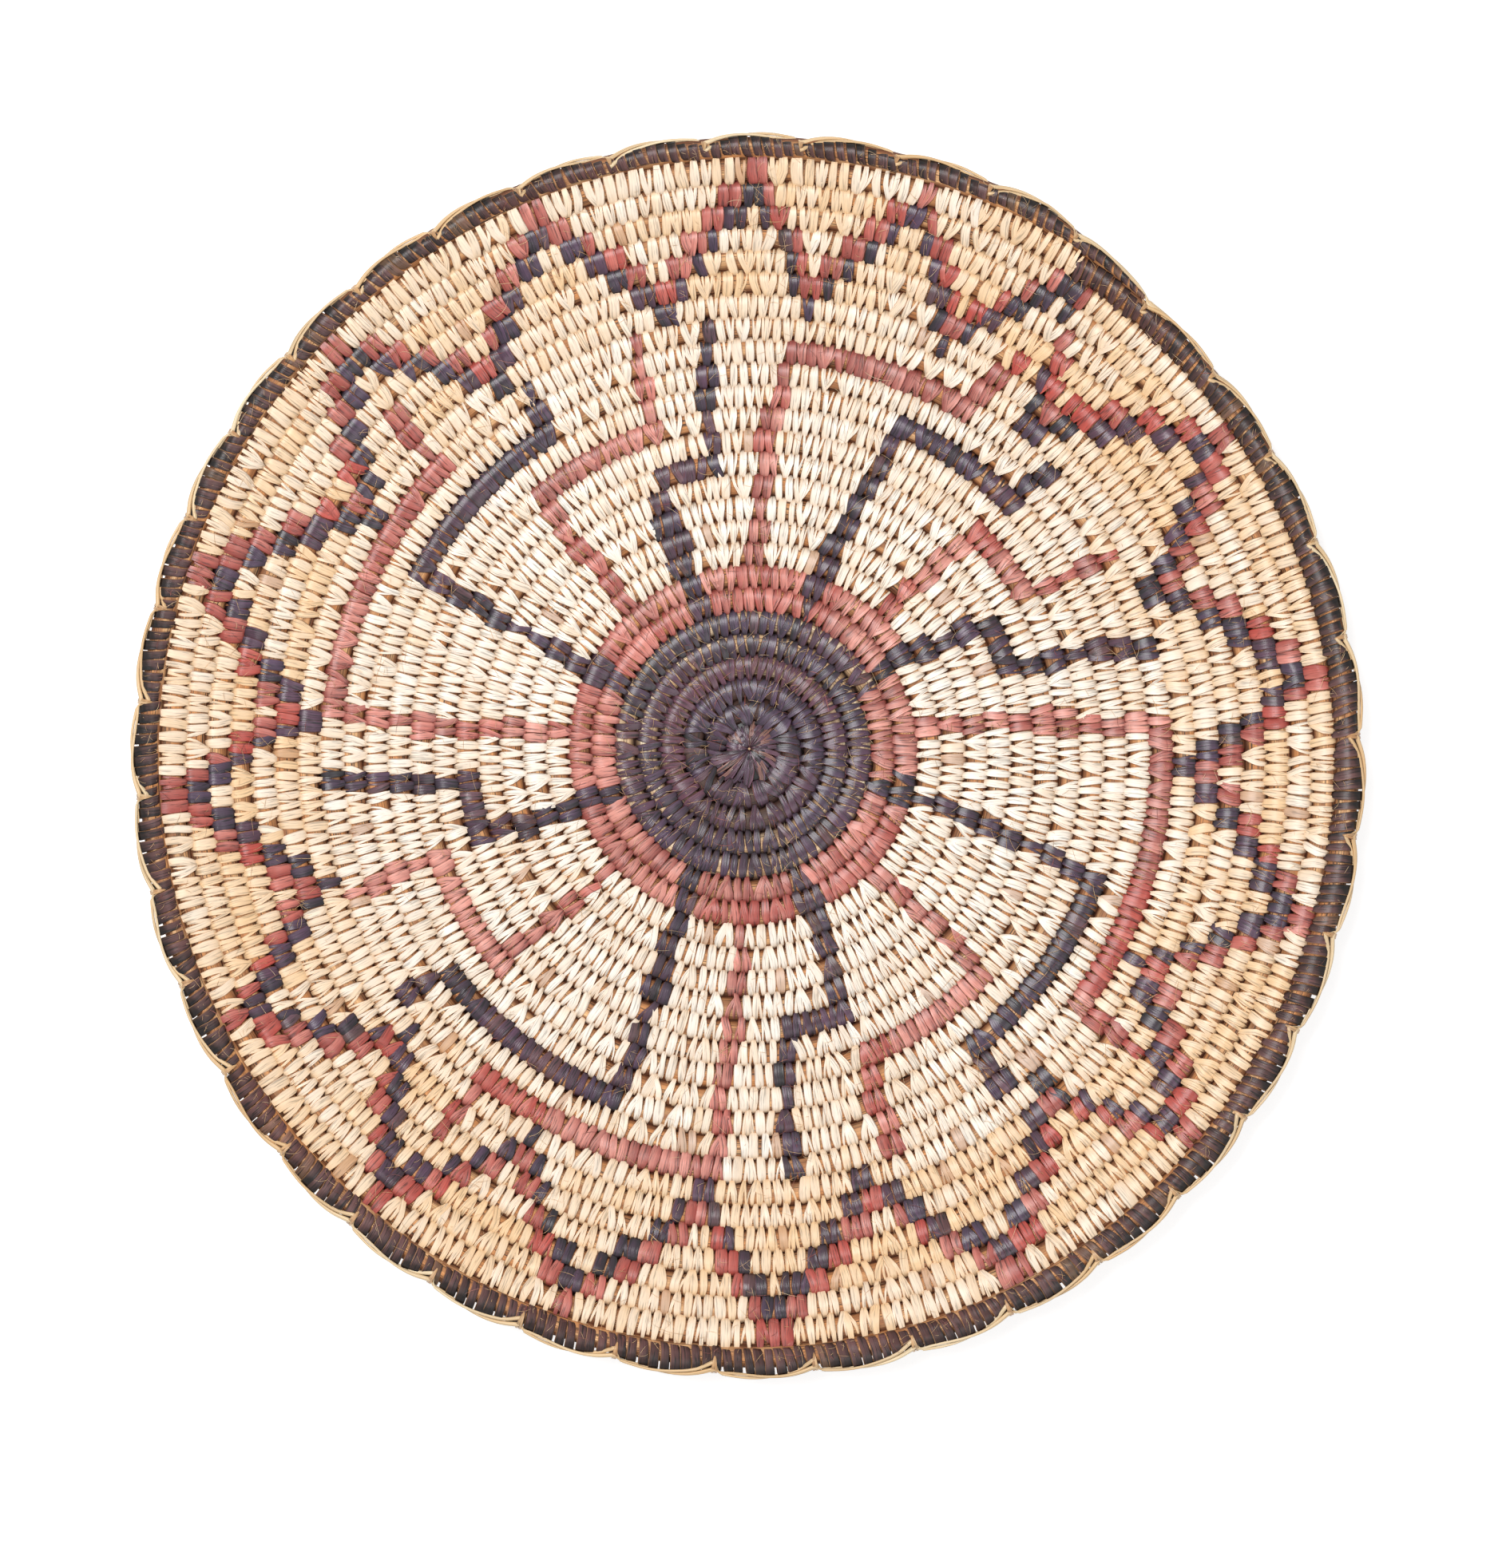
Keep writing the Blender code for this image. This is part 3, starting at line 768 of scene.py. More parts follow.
rim_steps = np.arange(rim_count) + 0.5 + DICE.uniform(-RIM_WAVER, RIM_WAVER, rim_count)
PLAN["rim"] = rim_start + rim_steps * rim_room, np.full(rim_count, rim_room), np.zeros(rim_count)
for name, (places, *_) in PLAN.items():
    print(f"{name}: {len(places)} stitches are planned")

# %% [markdown]
# ## Shades of the strips
# One strip of leaf lasts for about a dozen stitches, so these share one shade. Natural leaf is
# palest on the flat bottom and turns honey coloured up the wall, and the red gets deeper there. A
# few single stitches are brown, and part of one early lap of the black centre has faded.

# %% Tones of the stitches
STRIP_STITCHES = 12
BROWN_NATURAL_CHANCE = 0.015
BROWN_DYED_CHANCE = 0.07
FADED_FROM, FADED_TO = 3.3, 3.86


def tones_for(laps, colours):
    """How light, warm and brown each stitch is: by its strip, by its lap, and by chance."""
    count = len(laps)
    strip = np.floor(np.arange(count) / STRIP_STITCHES).astype(int)
    strip_light = DICE.uniform(0, 1, strip.max() + 1)[strip]
    strip_warm = DICE.uniform(0, 1, strip.max() + 1)[strip]
    natural, red = colours == NATURAL, colours == RED
    outer = np.clip((laps - WALL_END + 2) / 3.5, 0, 1)
    inner = np.clip((FIELD_END + 1 - laps) / 4, 0, 1)
    light = 0.35 + 0.4 * strip_light + 0.2 * DICE.standard_normal(count)
    light = light + np.select([natural, red], [0.15 * inner, -0.3 * outer], 0)
    natural_warm = (0.12 - 0.1 * inner + 0.5 * outer + (0.3 + 0.35 * outer) * (strip_warm - 0.5)
                    + 0.1 * DICE.standard_normal(count))
    dyed_warm = 0.5 * strip_warm ** 2 + 0.25 * outer * red
    warm = np.clip(np.where(natural, natural_warm, dyed_warm), 0, 1)
    rare = DICE.uniform(0, 1, count)
    brown = np.where(natural, 0.6 * (rare > 1 - BROWN_NATURAL_CHANCE),
                     0.2 * (rare > 1 - BROWN_DYED_CHANCE))
    faded = (laps > FADED_FROM) & (laps < FADED_TO)
    warm = np.where(faded, 0.7 + 0.2 * strip_warm, warm)
    return np.stack([light.clip(0, 1), warm, brown], -1)


print("one strip lasts for", STRIP_STITCHES, "stitches")

# %% [markdown]
# ## The sewn rows
# Each row is laid out whole and then parted by colour. Some stitches are split: a broad strip and
# a thin one from one hole, and the frayed ones have a thin strip on both sides. The first laps
# are sewn less evenly, as they are the hardest to hold, and the dyed strips are broader. On the
# last natural lap the stitches reach farther out, because the rim's own are short.

# %% How the hand strays
SLOTS = {NATURAL: "natural_splint", BLACK: "black_splint", RED: "red_splint"}
COLOUR_NAMES = {NATURAL: "natural", BLACK: "black", RED: "red"}
SPLIT_SHARES = {"centre": 0.3, "ring": 0.45, "field": 0.5, "wall": 0.5, "band_lower": 0.5,
                "band_upper": 0.4}
FRAYED_SHARE = 0.3
SPLIT_ONE_WAY = 0.65
SPLIT_WIDTH, FRAYED_WIDTH = 0.7, 0.55
SPLIT_SHIFT = 0.15
SPLIT_LEAN = 0.05
SLIVER_WIDTH = 0.32
SLIVER_SHIFT = 0.34
LEAF_ROLL = 0.06
TIP_LIMITS = (-0.3, 0.35)
NATURAL_WIDTH = 0.9
DYED_WIDTH = 1.05
CENTRE_WIDTH = 0.98
CENTRE_LONGER = 0.06
CENTRE_TAPER = 0.34
ROUGH_LAPS = 3.6
ROUGH_FADE = 2
LAST_LAP_REACH = 0.62
NARROW_FROM = 0.2
NARROW_WITHIN = 0.1
LEAF_STRAYS = [("lean", 0.035, 0.3), ("width", 0.08, 0.15), ("bow", 0.08, 0.3), ("tip", 0.18, 0),
               ("reach", 0.06, 0), ("lift", 0.025, 0.05), ("roll", 0.07, 0)]
SLIVER_STRAYS = [("width", 0.05, 0), ("lean", 0.05, 0), ("tip", 0.2, 0), ("lift", 0.02, 0)]


def narrow_rim(laps):
    """Where the rim is sewn with short stitches: from none at its start to one farther on."""
    return np.clip((laps - BAND_END - NARROW_FROM) / NARROW_WITHIN, 0, 1)


for name, fine, coarse in LEAF_STRAYS:
    print(f"{name} strays by {fine}, and by {fine + coarse:.3f} in the first laps")


# %% Sew the rows
def sew(name, node):
    """All the stitches of one length of coil, as one piece for each colour."""
    along, room, hook = PLAN[name]
    laps = laps_at(along)
    colours = chart_colours(laps)
    tones = tones_for(laps, colours)
    chance = DICE.uniform(0, 1, len(along))
    split = chance < SPLIT_SHARES[name]
    frayed = chance < FRAYED_SHARE * SPLIT_SHARES[name]
    side = np.where(DICE.uniform(0, 1, len(along)) < SPLIT_ONE_WAY, 1, -1)
    rough = np.clip((ROUGH_LAPS - laps) / ROUGH_FADE, 0, 1)
    stray = hand(LEAF_STRAYS, rough)
    share, longer, taper = np.where(colours == NATURAL, NATURAL_WIDTH, DYED_WIDTH), 0, 0
    if name == "centre":
        share, longer, taper = CENTRE_WIDTH, CENTRE_LONGER, CENTRE_TAPER
    share = share * np.select([frayed, split], [FRAYED_WIDTH, SPLIT_WIDTH], 1)
    shift = np.where(split & ~frayed, -SPLIT_SHIFT * room * side, 0)
    laid, _, grain = lay(LEAF, along + shift, room * share * (1 + 0.2 * rough + stray["width"]),
                         lean=np.where(split, -SPLIT_LEAN * side, 0) + stray["lean"],
                         bow=stray["bow"] * MM, tip=stray["tip"].clip(*TIP_LIMITS) - taper,
                         reach=longer + stray["reach"], lift=stray["lift"],
                         roll=LEAF_ROLL + stray["roll"],
                         out=LAST_LAP_REACH * narrow_rim(laps + 1), hook=hook - 0.6 * shift)
    batches = [(laid, LEAF, grain, tones, colours)]
    for way, has_sliver in ((side, split), (-side, frayed)):
        off = way * room * SLIVER_SHIFT
        stray = hand(SLIVER_STRAYS, count=len(along))
        thin, _, grain = lay(SLIVER, along + off, room * (SLIVER_WIDTH + stray["width"]),
                             lean=way * (0.1 + stray["lean"]), tip=0.1 + stray["tip"],
                             lift=-0.01 + stray["lift"], hook=hook - 0.25 * off)
        batches.append((thin[has_sliver], SLIVER, grain[has_sliver], tones[has_sliver],
                        colours[has_sliver]))
    for colour in (NATURAL, BLACK, RED):
        if not (colours == colour).any():
            continue
        own = [(points[shades == colour], stitch, grain[shades == colour], tone[shades == colour])
               for points, stitch, grain, tone, shades in batches]
        piece = build_piece(f"{name}_{COLOUR_NAMES[colour]}_stitches", own, FINISHES[colour],
                            LEAF_CREASE_SHADE if colour == NATURAL else DYED_CREASE_SHADE)
        dress(piece, SLOTS[colour], node)


for name, *_ in ROWS:
    sew(name, name.split("_")[0] + "_coil")

# %% [markdown]
# ## The grass bundle
# Between the stitches the bundle shows as golden stems that run along the coil. Single stems
# would be far too many, so one short piece of it is an open cylinder. Array copies it end to end,
# the ends are closed, its outline is ribbed, and it is wound like the stitches. The same kind of
# rod serves for the canes and the hairs below.

# %% A long rod
def long_rod(name, sides, radius, length, sections, merge, closed=True):
    """A rod along x in many sections, each an array copy that is merged to the one before."""
    bpy.ops.object.select_all(action="DESELECT")
    bpy.ops.mesh.primitive_cylinder_add(vertices=sides, radius=radius, depth=length / sections,
                                        end_fill_type="NOTHING", rotation=(0, math.pi / 2, 0))
    rod = bpy.context.object
    rod.name = name
    bpy.ops.object.transform_apply(location=True, rotation=True, scale=True)
    row = rod.modifiers.new("row", "ARRAY")
    row.count = sections
    row.use_relative_offset = False
    row.use_constant_offset = True
    row.constant_offset_displace = (length / sections, 0, 0)
    row.use_merge_vertices = True
    row.merge_threshold = merge
    bpy.ops.object.modifier_apply(modifier="row")
    bpy.ops.object.mode_set(mode="EDIT")
    bpy.ops.mesh.select_all(action="SELECT")
    if closed:
        bpy.ops.mesh.fill_holes(sides=sides)
    bpy.ops.mesh.normals_make_consistent(inside=False)
    bpy.ops.object.mode_set(mode="OBJECT")
    points = np.empty(len(rod.data.vertices) * 3)
    rod.data.vertices.foreach_get("co", points)
    return rod, points.reshape(-1, 3)


# %% Bundle
BUNDLE_SIDES = 16
BUNDLE_STEP = 3.2 * MM
BUNDLE_HALF_WIDTH = 3.75 * MM
BUNDLE_TOP = 2.74 * MM
BUNDLE_BOTTOM = 1.95 * MM
RIBS, RIB_HEIGHT = 6, 0.035
WAVE_HEIGHT = 0.02
CREASE_SHADE_FROM = 0.5
DARK_FIRST_LAPS = 4.4


def bundle_tones(along, turn):
    """Patches of light and dark stems, painted shade down the sides, and darker in the first laps.
    """
    patches = np.sin(turn * 5 + along * 370) * np.sin(along * 137 - turn * 2)
    # Painted shade: the sides of the bundle, down in the creases between laps, are darker and
    # browner.
    crease_shade = np.clip((np.abs(np.cos(turn)) - CREASE_SHADE_FROM) / (1 - CREASE_SHADE_FROM), 0, 1)
    # The first laps are made darker through the same share.
    crease_shade = np.maximum(crease_shade, np.clip((DARK_FIRST_LAPS - laps_at(along)) / 1.5, 0, 0.9))
    return np.stack([np.clip(0.4 + patches, 0, 1) * (1 - crease_shade),
                     0.5 + 0.5 * np.sin(along * 61 + turn * 2),
                     np.clip(0.1 - 0.5 * patches, 0, 0.6) + 1.1 * crease_shade], -1)


def wound_bundle(name, start, end, half_width, more_inside, finish):
    """The bundle from one lap to another, ribbed along its length."""
    first, last = run_at(start), run_at(end)
    sections = max(int((last - first) / BUNDLE_STEP), 2)
    bundle, points = long_rod(name, BUNDLE_SIDES, 1, last - first, sections, BUNDLE_STEP / 100)
    turn = np.arctan2(points[:, 2], points[:, 1])
    ribs = (1 + RIB_HEIGHT * np.sin(turn * RIBS + 0.5)
            + WAVE_HEIGHT * np.sin(points[:, 0] * 900 + turn * 3))
    height = np.where(points[:, 2] > 0, BUNDLE_TOP, BUNDLE_BOTTOM)
    points[:, 1] *= np.where(points[:, 1] < 0, half_width + more_inside, half_width) * ribs
    points[:, 2] *= height * ribs
    points[:, 0] += first - points[:, 0].min()
    bundle.data.vertices.foreach_set("co", wind(points).astype(np.float32).ravel())
    grain = np.stack([turn * BUNDLE_HALF_WIDTH, points[:, 0] / 6, np.zeros(len(points))], -1)
    paint(bundle.data, bundle_tones(points[:, 0], turn), grain, finish)
    print(f"{name}: {last - first:.2f} m")
    return bundle


RIM_BUNDLE_HALF_WIDTH = 3.1 * MM
RIM_BUNDLE_MORE_INSIDE = 1.1 * MM
RIM_BUNDLE_END = TIP_END - 0.002
for name, start, end, finish in (("centre", COIL_START, CENTRE_END, PALE_GRASS_FINISH),
                                 ("ring", CENTRE_END, RING_END, GRASS_FINISH),
                                 ("field", RING_END, FIELD_END, GRASS_FINISH),
                                 ("wall", FIELD_END, WALL_END, GRASS_FINISH),
                                 ("band", WALL_END, BAND_END, GRASS_FINISH),
                                 ("rim", BAND_END, RIM_BUNDLE_END, GRASS_FINISH)):
    widths = (RIM_BUNDLE_HALF_WIDTH, RIM_BUNDLE_MORE_INSIDE) if name == "rim" else (
        BUNDLE_HALF_WIDTH, 0)
    bundle = wound_bundle(f"{name}_grass_bundle", start, end, *widths, finish)
    dress(bundle, "natural_splint", f"{name}_coil")

# %% [markdown]
# ## The rim
# The last lap is sewn with black strips, a little apart and all slanted the same way, so that the
# bundle shows between them as thin tan lines. They are broad on the outside and end in ragged
# points on the inside. Past the rim's first fifth they are short and leave more of the last
# natural lap to be seen. Between two ties the rim swells a little, and each tie draws it in.

# %% Scallops of the rim
SCALLOPS = 39
SCALLOP_SWAY = 0.0067
SWAY_ROUNDS = 12
LOPSIDE = 1.1 * MM
LOPSIDE_BEARING = math.radians(-100)


def scallop_count(laps):
    """How many scallops lie between the rim's start and a place. A tie is at every half."""
    share = laps - (RIM_END - 1)
    return SCALLOPS * (share - SCALLOP_SWAY * (1 - np.cos(math.tau * share)))


def scallop_place(count):
    """The place along the coil where so many scallops have gone by: the other way round."""
    share = count / SCALLOPS
    for _ in range(SWAY_ROUNDS):
        share = count / SCALLOPS + SCALLOP_SWAY * (1 - math.cos(math.tau * share))
    return RIM_END - 1 + share


def rim_reach(laps):
    """How much farther out than usual the rim stands: its last lap was not sewn quite round."""
    bearing = START_BEARING - math.tau * (laps - CENTRE_END)
    return LOPSIDE * np.cos(bearing - LOPSIDE_BEARING)


print(SCALLOPS, "scallops, the first tie at lap", round(scallop_place(0.5), 2))

# %% Sew the rim
RIM_HALF_WIDTH = 3.75 * MM
RIM_STITCH_WIDTH = 0.89
RIM_LEAN = -0.18
RIM_ROLL = 0.14
RIM_DRAWN_IN = 0.1
RIM_SWELL = 0.42
RIM_SHORTER = 0.48
RIM_STRAYS = [("width", 0.08, 0), ("lean", 0.07, 0), ("bow", 0.12, 0), ("reach", 0.1, 0),
              ("lift", 0.02, 0), ("roll", 0.05, 0)]

rim_along, rim_room, _ = PLAN["rim"]
rim_laps = laps_at(rim_along)
swell = np.cos(math.pi * scallop_count(rim_laps)) ** 2
stray = hand(RIM_STRAYS, count=len(rim_along))
rim_laid, _, rim_grain = lay(
    RIM_LEAF, rim_along, rim_room * (RIM_STITCH_WIDTH + stray["width"]),
    lean=RIM_LEAN + stray["lean"], bow=stray["bow"] * MM,
    reach=stray["reach"] - RIM_SHORTER * narrow_rim(rim_laps), lift=stray["lift"],
    roll=RIM_ROLL + stray["roll"],
    out=RIM_SWELL * swell - RIM_DRAWN_IN + rim_reach(rim_laps) / RIM_HALF_WIDTH)
rim_tones = tones_for(rim_laps, np.full(len(rim_along), BLACK))
rim = build_piece("rim_black_stitches", [(rim_laid, RIM_LEAF, rim_grain, rim_tones)], RIM_FINISH)
dress(rim, "black_splint", "rim_coil")

# %% [markdown]
# ## Start knot
# The coil starts in a tight knot: the first splints run out from one point like the rays of a
# star, over a small pad of grass, and the underside has the same rays. The pad is a cylinder with
# rounded edges. The rays are copies of the thin stitch, stretched, turned round the middle with a
# slight swirl and laid in three layers. The underside's rays are their mirror image, a bit
# flatter, and a small pale bead sits on top at the middle.

# %% Pad of the knot
PAD_RADIUS = 13 * MM
PAD_DEPTH = 1.9 * MM
PAD_MIDDLE = 1.75 * MM
PAD_ROUNDING = 0.6 * MM

bpy.ops.object.select_all(action="DESELECT")
bpy.ops.mesh.primitive_cylinder_add(vertices=32, radius=PAD_RADIUS, depth=PAD_DEPTH,
                                    location=(0, 0, PAD_MIDDLE))
pad = bpy.context.object
pad.name = "start_knot_pad"
bpy.ops.object.transform_apply(location=True, rotation=True, scale=True)
rounding = pad.modifiers.new("rounding", "BEVEL")
rounding.width = PAD_ROUNDING
rounding.segments = 3
bpy.ops.object.modifier_apply(modifier="rounding")
pad.data.materials.append(FINISHES[BLACK])
bpy.ops.object.shade_smooth()
dress(pad, "black_splint", "start_knot")
print(f"pad {PAD_RADIUS * 2 / MM:.0f} mm across")

# %% Rays of the knot: how many, shortest and longest share, width, rise at the eye
RAY_LAYERS = [(36, 0.95, 1.0, 1.7 * MM, 0), (28, 0.6, 0.95, 1.25 * MM, 0.35 * MM),
              (18, 0.3, 0.8, 0.7 * MM, 0.75 * MM)]
RAY_START = 0.2 * MM
RAY_TUCK = 2.6 * MM
RAY_COIL_START = COIL_START + 0.25
UNDER_SHARE = 0.6
UNDER_RISE = 0.2
knot_low, knot_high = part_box("start_knot")
knot_middle = (knot_low + knot_high) / 2
KNOT_EYE = Vector((knot_middle.x * 0.4, knot_middle.y * 0.4, 0))


def rays_of(rays, shortest, longest, widest, rise):
    """One layer of rays, on the face and on the underside, as batches for a piece."""
    points, faces, within = SLIVER
    share = ((points[:, 1] - points[:, 1].min()) / np.ptp(points[:, 1]))[None, :]
    turn = (np.arange(rays) + DICE.uniform(-0.45, 0.45, rays)) * math.tau / rays
    turns = (START_BEARING - turn) / math.tau + CENTRE_END - RAY_COIL_START
    coil = (RAY_COIL_START + turns % 1) * LAP_PITCH - RAY_TUCK
    reach = (coil * DICE.uniform(shortest, longest, rays))[:, None]
    width = widest * DICE.uniform(0.7, 1.1, rays)[:, None] / SPLINT_WIDTH
    x = points[None, :, 0] * width * (0.25 + 0.75 * np.clip(share * 2.2, 0, 1))
    x = x + 0.3 * MM * DICE.standard_normal(rays)[:, None] * np.sin(math.pi * share)
    y = RAY_START + share * reach
    z = points[None, :, 2] * (0.93 + 0.04 * DICE.standard_normal(rays)[:, None])
    arch = rise * (1 - share ** 2)
    bend = turn[:, None] - DICE.uniform(0, 0.3, rays)[:, None] * share ** 2
    east = KNOT_EYE.x + y * np.cos(bend) - x * np.sin(bend)
    north = KNOT_EYE.y + y * np.sin(bend) + x * np.cos(bend)
    seed = DICE.uniform(0, GRAIN_PLACES, rays)[:, None]
    grain = np.stack([x, y, np.broadcast_to(seed, x.shape)], -1)
    tone = np.stack([DICE.uniform(0, 0.9, rays), DICE.uniform(0, 0.8, rays),
                     np.where(DICE.uniform(0, 1, rays) > 0.88, 0.6, 0)], -1)
    over = np.stack([east, north, MIDDLE_HEIGHT + arch + z], -1)
    under = np.stack([east, north, MIDDLE_HEIGHT - UNDER_RISE * arch - UNDER_SHARE * z], -1)
    return [(over, SLIVER, grain, tone), (under, (points, faces[:, ::-1], within), grain, tone)]


ray_batches = [batch for layer in RAY_LAYERS for batch in rays_of(*layer)]
rays = build_piece("start_knot_rays", ray_batches, FINISHES[BLACK], place=np.array)
dress(rays, "black_splint", "start_knot")

# %% Heart of the knot
HEART_RADIUS = 0.42 * MM
HEART_HEIGHT = MIDDLE_HEIGHT + 3.5 * MM

bpy.ops.object.select_all(action="DESELECT")
bpy.ops.mesh.primitive_uv_sphere_add(segments=12, ring_count=8, radius=HEART_RADIUS,
                                     location=(KNOT_EYE.x, KNOT_EYE.y, HEART_HEIGHT))
heart = bpy.context.object
heart.name = "start_knot_heart"
bpy.ops.object.transform_apply(location=True, rotation=True, scale=True)
bpy.ops.object.shade_smooth()
heart.data.materials.append(PALE_GRASS_FINISH)
dress(heart, "natural_splint", "start_knot")
print(f"the heart stands {HEART_HEIGHT / MM:.1f} mm above the floor")

# %% [markdown]
# ## Cane edge
# Two thin pale canes run round the outside of the rim. Between two ties they bow out and cross
# each other, and each tie pulls them against the rim, where they are thickest. A bevelled curve
# is the usual way to a cane, but it would not follow the tray's own spiral. So a cane is a long
# thin rod, bent to the scallops on the straight row and wound like the bundle.

# %% Canes
CANE_SIDES = 6
CANE_RADIUS = 0.44 * MM
CANE_STEP = 1.0 * MM
CANE_START = RIM_END - 1 + 0.004
CANE_END = TIP_END + 0.008
CANE_OUT = 4.0 * MM
CANE_BOW = 1.05 * MM
CANE_CROSSING = 0.4 * MM
CANE_RISE = 0.15 * MM
CANE_WEAVE = 0.5 * MM
CANE_SWELL, SWELL_AFTER = 0.8, 0.25
TUCK_AFTER, TUCK_BEFORE = 0.13, 0.035
TUCK_IN, TUCK_IN_MORE = 1.7 * MM, 0.9 * MM
TUCK_UP, TUCK_UP_MORE = 2.2 * MM, 0.8 * MM
CANE_DROP = 3.4 * MM
CANE_DROP_LAPS = 0.008


def edge_cane(name, way):
    """A cane that starts over the other one, with way 1, or under it, with way -1."""
    first, last = run_at(CANE_START), run_at(CANE_END)
    sections = int((last - first) / CANE_STEP)
    cane, points = long_rod(name, CANE_SIDES, CANE_RADIUS, last - first, sections,
                            CANE_RADIUS / 50)
    grain = np.stack([np.arctan2(points[:, 2], points[:, 1]) * MM, points[:, 0] / 4,
                      np.full(len(points), way)], -1)
    points[:, 0] += first - points[:, 0].min()
    laps = laps_at(points[:, 0])
    count = scallop_count(laps)
    past_tie = (count + 0.5) % 1
    swell = 1 + CANE_SWELL * np.exp(-(past_tie / SWELL_AFTER) ** 2)
    points[:, 1:] *= (swell / tip_share(laps))[:, None]
    tuck = (np.exp(-(past_tie / TUCK_AFTER) ** 1.5)
            + np.exp(-((1 - past_tie) / TUCK_BEFORE) ** 2))
    bow = CANE_BOW * np.cos(math.pi * count) ** 2
    crossing = CANE_CROSSING * way * np.sin(math.tau * count)
    points[:, 1] += CANE_OUT + bow + crossing + rim_reach(laps)
    points[:, 1] -= (TUCK_IN + TUCK_IN_MORE * way) * tuck
    down = np.clip((laps - TIP_END) / CANE_DROP_LAPS + 0.6, 0, 1)
    points[:, 1] -= CANE_DROP * down ** 2 * (3 - 2 * down)
    points[:, 2] += CANE_RISE + CANE_WEAVE * way * np.cos(math.pi * count)
    points[:, 2] += (TUCK_UP + TUCK_UP_MORE * way) * tuck
    cane.data.vertices.foreach_set("co", wind(points).astype(np.float32).ravel())
    tone = np.stack([0.5 + 0.4 * np.sin(points[:, 0] * 70 + way),
                     0.3 + 0.3 * np.sin(points[:, 0] * 41), np.zeros(len(points))], -1)
    paint(cane.data, tone, grain, CANE_FINISH)
    dress(cane, "pale_cane", "edge_cane")
    print(f"{name}: {last - first:.2f} m of cane")


edge_cane("edge_cane_over", 1)
edge_cane("edge_cane_under", -1)

# %% [markdown]
# ## Ties
# Each tie is a short loop of split leaf that is passed round the canes and the rim. Two narrow
# bands that open inwards look like the crossed ends of such a loop. Each tie is a piece of its
# own, because it is one in the frame.

# %% Ties
TIE_HALF_WIDTH = 3.9 * MM
TIE_MEET = 0.4 * MM
TIE_SIDES = np.array([-1.0, 1.0])
for number in range(1, SCALLOPS + 1):
    middle = float(run_at(scallop_place(number - 0.5)))
    lean = DICE.uniform(0.08, 0.18)
    tie_laid, _, tie_grain = lay(TIE_BAND, middle - TIE_SIDES * lean * TIE_MEET,
                                 np.full(2, SPLINT_WIDTH), lean=TIE_SIDES * lean,
                                 lift=TIE_SIDES * 0.02,
                                 out=rim_reach(laps_at(middle)) / TIE_HALF_WIDTH)
    tie_tone = DICE.uniform(0.2, 0.9, (2, 3)) * (0.6, 1, 0.9)
    tie = build_piece(f"edge_tie_{number:02d}_loops",
                      [(tie_laid, TIE_BAND, tie_grain, tie_tone)], CANE_FINISH)
    dress(tie, "pale_cane", f"edge_tie_{number:02d}")

# %% [markdown]
# ## Stray fibres
# Split leaf frays. Fine hairs stand off the stitches all over the tray, most of them where a
# strip ends and another begins. Blender's own hair is for render only and would be lost from the
# mesh, so one hair is a thin three-sided rod in a few sections, drawn to a point at both ends. Its
# copies are bent, turned and scattered on the straight row before that is wound.

# %% One hair
HAIR_RADIUS = 0.06 * MM
HAIR_SECTIONS = 5


def model_hair():
    """A straight hair of unit length along x, as points and faces to copy."""
    hair, points = long_rod("hair", 3, HAIR_RADIUS, 1, HAIR_SECTIONS, HAIR_RADIUS / 10,
                            closed=False)
    points[:, 0] -= points[:, 0].min()
    taper = np.clip(np.minimum(points[:, 0] * 8, (1 - points[:, 0]) * 3), 0, 1)
    points[:, 1:] *= taper[:, None]
    faces = np.array([tuple(face.vertices) for face in hair.data.polygons])
    bpy.data.objects.remove(hair)
    return points, faces, np.zeros(len(points))


HAIR = model_hair()
print("one hair has", len(HAIR[1]), "faces")

# %% Scatter the hairs
HAIR_BEND = 0.7
HAIR_SPREAD = 3.2
HAIR_HEIGHT = 3.1 * MM


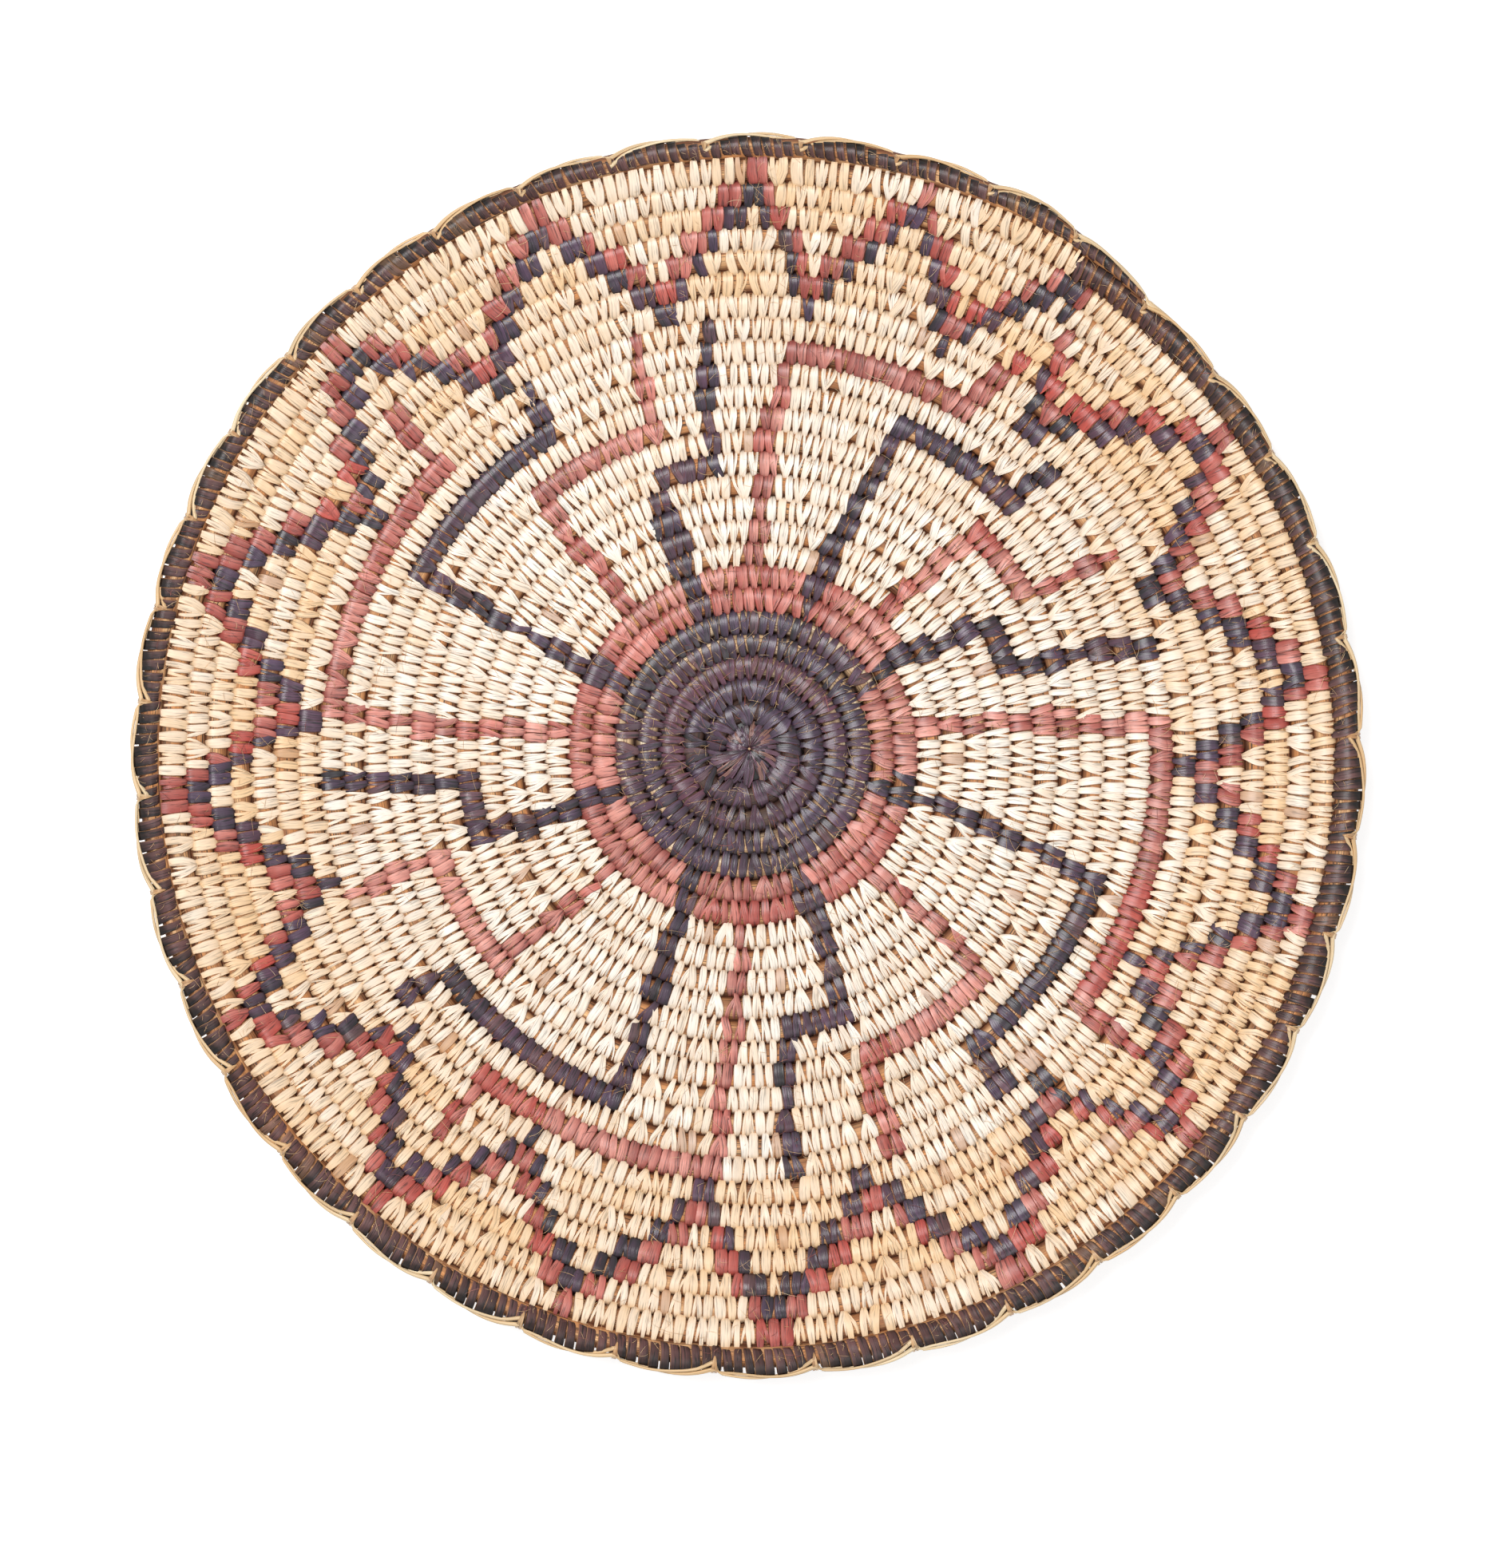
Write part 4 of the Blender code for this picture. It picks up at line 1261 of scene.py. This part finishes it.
def scatter_hairs(along, length, tones):
    """Copies of the hair near each place, each with its own turn, bend and rise."""
    count = len(along)
    run, off_y, off_z = (HAIR[0][None, :, axis] for axis in range(3))
    size = length[:, None]
    turn = DICE.uniform(0, math.tau, count)[:, None]
    bend = DICE.normal(0, HAIR_BEND, count)[:, None]
    heading = turn + bend * (run - 0.5)
    x = size * (np.cos(turn) * run - np.sin(turn) * bend * run * (run - 1) / 2)
    y = size * (np.sin(turn) * run + np.cos(turn) * bend * run * (run - 1) / 2)
    x = x - size * np.cos(turn) / 2 - np.sin(heading) * off_y
    y = y - size * np.sin(turn) / 2 + np.cos(heading) * off_y
    rise = DICE.gamma(2, 0.25, count)[:, None] * MM
    z = HAIR_HEIGHT + rise * run * 1.6 + off_z
    x = x + along[:, None]
    y = y + DICE.uniform(-HAIR_SPREAD, HAIR_SPREAD, count)[:, None] * MM
    grain = np.stack([x * 0 + off_y, run * size, x * 0 + along[:, None]], -1)
    return np.stack([x, y, z], -1), HAIR, grain, tones


# %% Pale and dyed hairs
PALE_HAIRS, EDGE_HAIRS, END_HAIRS, DARK_HAIRS = 1500, 1000, 800, 700
END_HAIR_SHARE = 0.45

sewn = np.concatenate([along for along, *_ in PLAN.values()])
sewn_laps = laps_at(sewn)
sewn_colours = chart_colours(sewn_laps)
changes = np.flatnonzero(np.diff(sewn_colours) != 0)
ends = np.flatnonzero((sewn_laps < CENTRE_END) | (sewn_laps > BAND_END))
pale_places = sewn[np.concatenate([DICE.integers(0, len(sewn), PALE_HAIRS),
                                   DICE.choice(changes, EDGE_HAIRS),
                                   DICE.choice(ends, END_HAIRS)])]
pale_tones = DICE.uniform(0, 1, (len(pale_places), 3)) * (1, 0.9, 0.5)
pale_lengths = DICE.gamma(3, 1.4, len(pale_places)) * MM
pale_lengths[-END_HAIRS:] *= END_HAIR_SHARE
pale_hairs = build_piece("pale_hairs", [scatter_hairs(pale_places, pale_lengths, pale_tones)],
                         CANE_FINISH)
dress(pale_hairs, "natural_splint", "band_coil", "wall_coil", "field_coil")
dark_places = sewn[DICE.choice(np.flatnonzero(sewn_colours != NATURAL), DARK_HAIRS)]
dark_tones = DICE.uniform(0, 1, (DARK_HAIRS, 3)) * (1, 0.6, 1)
dark_lengths = DICE.gamma(3, 1.3, DARK_HAIRS) * MM
dyed_hairs = build_piece("dyed_hairs", [scatter_hairs(dark_places, dark_lengths, dark_tones)],
                         FINISHES[RED])
dress(dyed_hairs, "red_splint", "ring_coil", "centre_coil", "rim_coil")
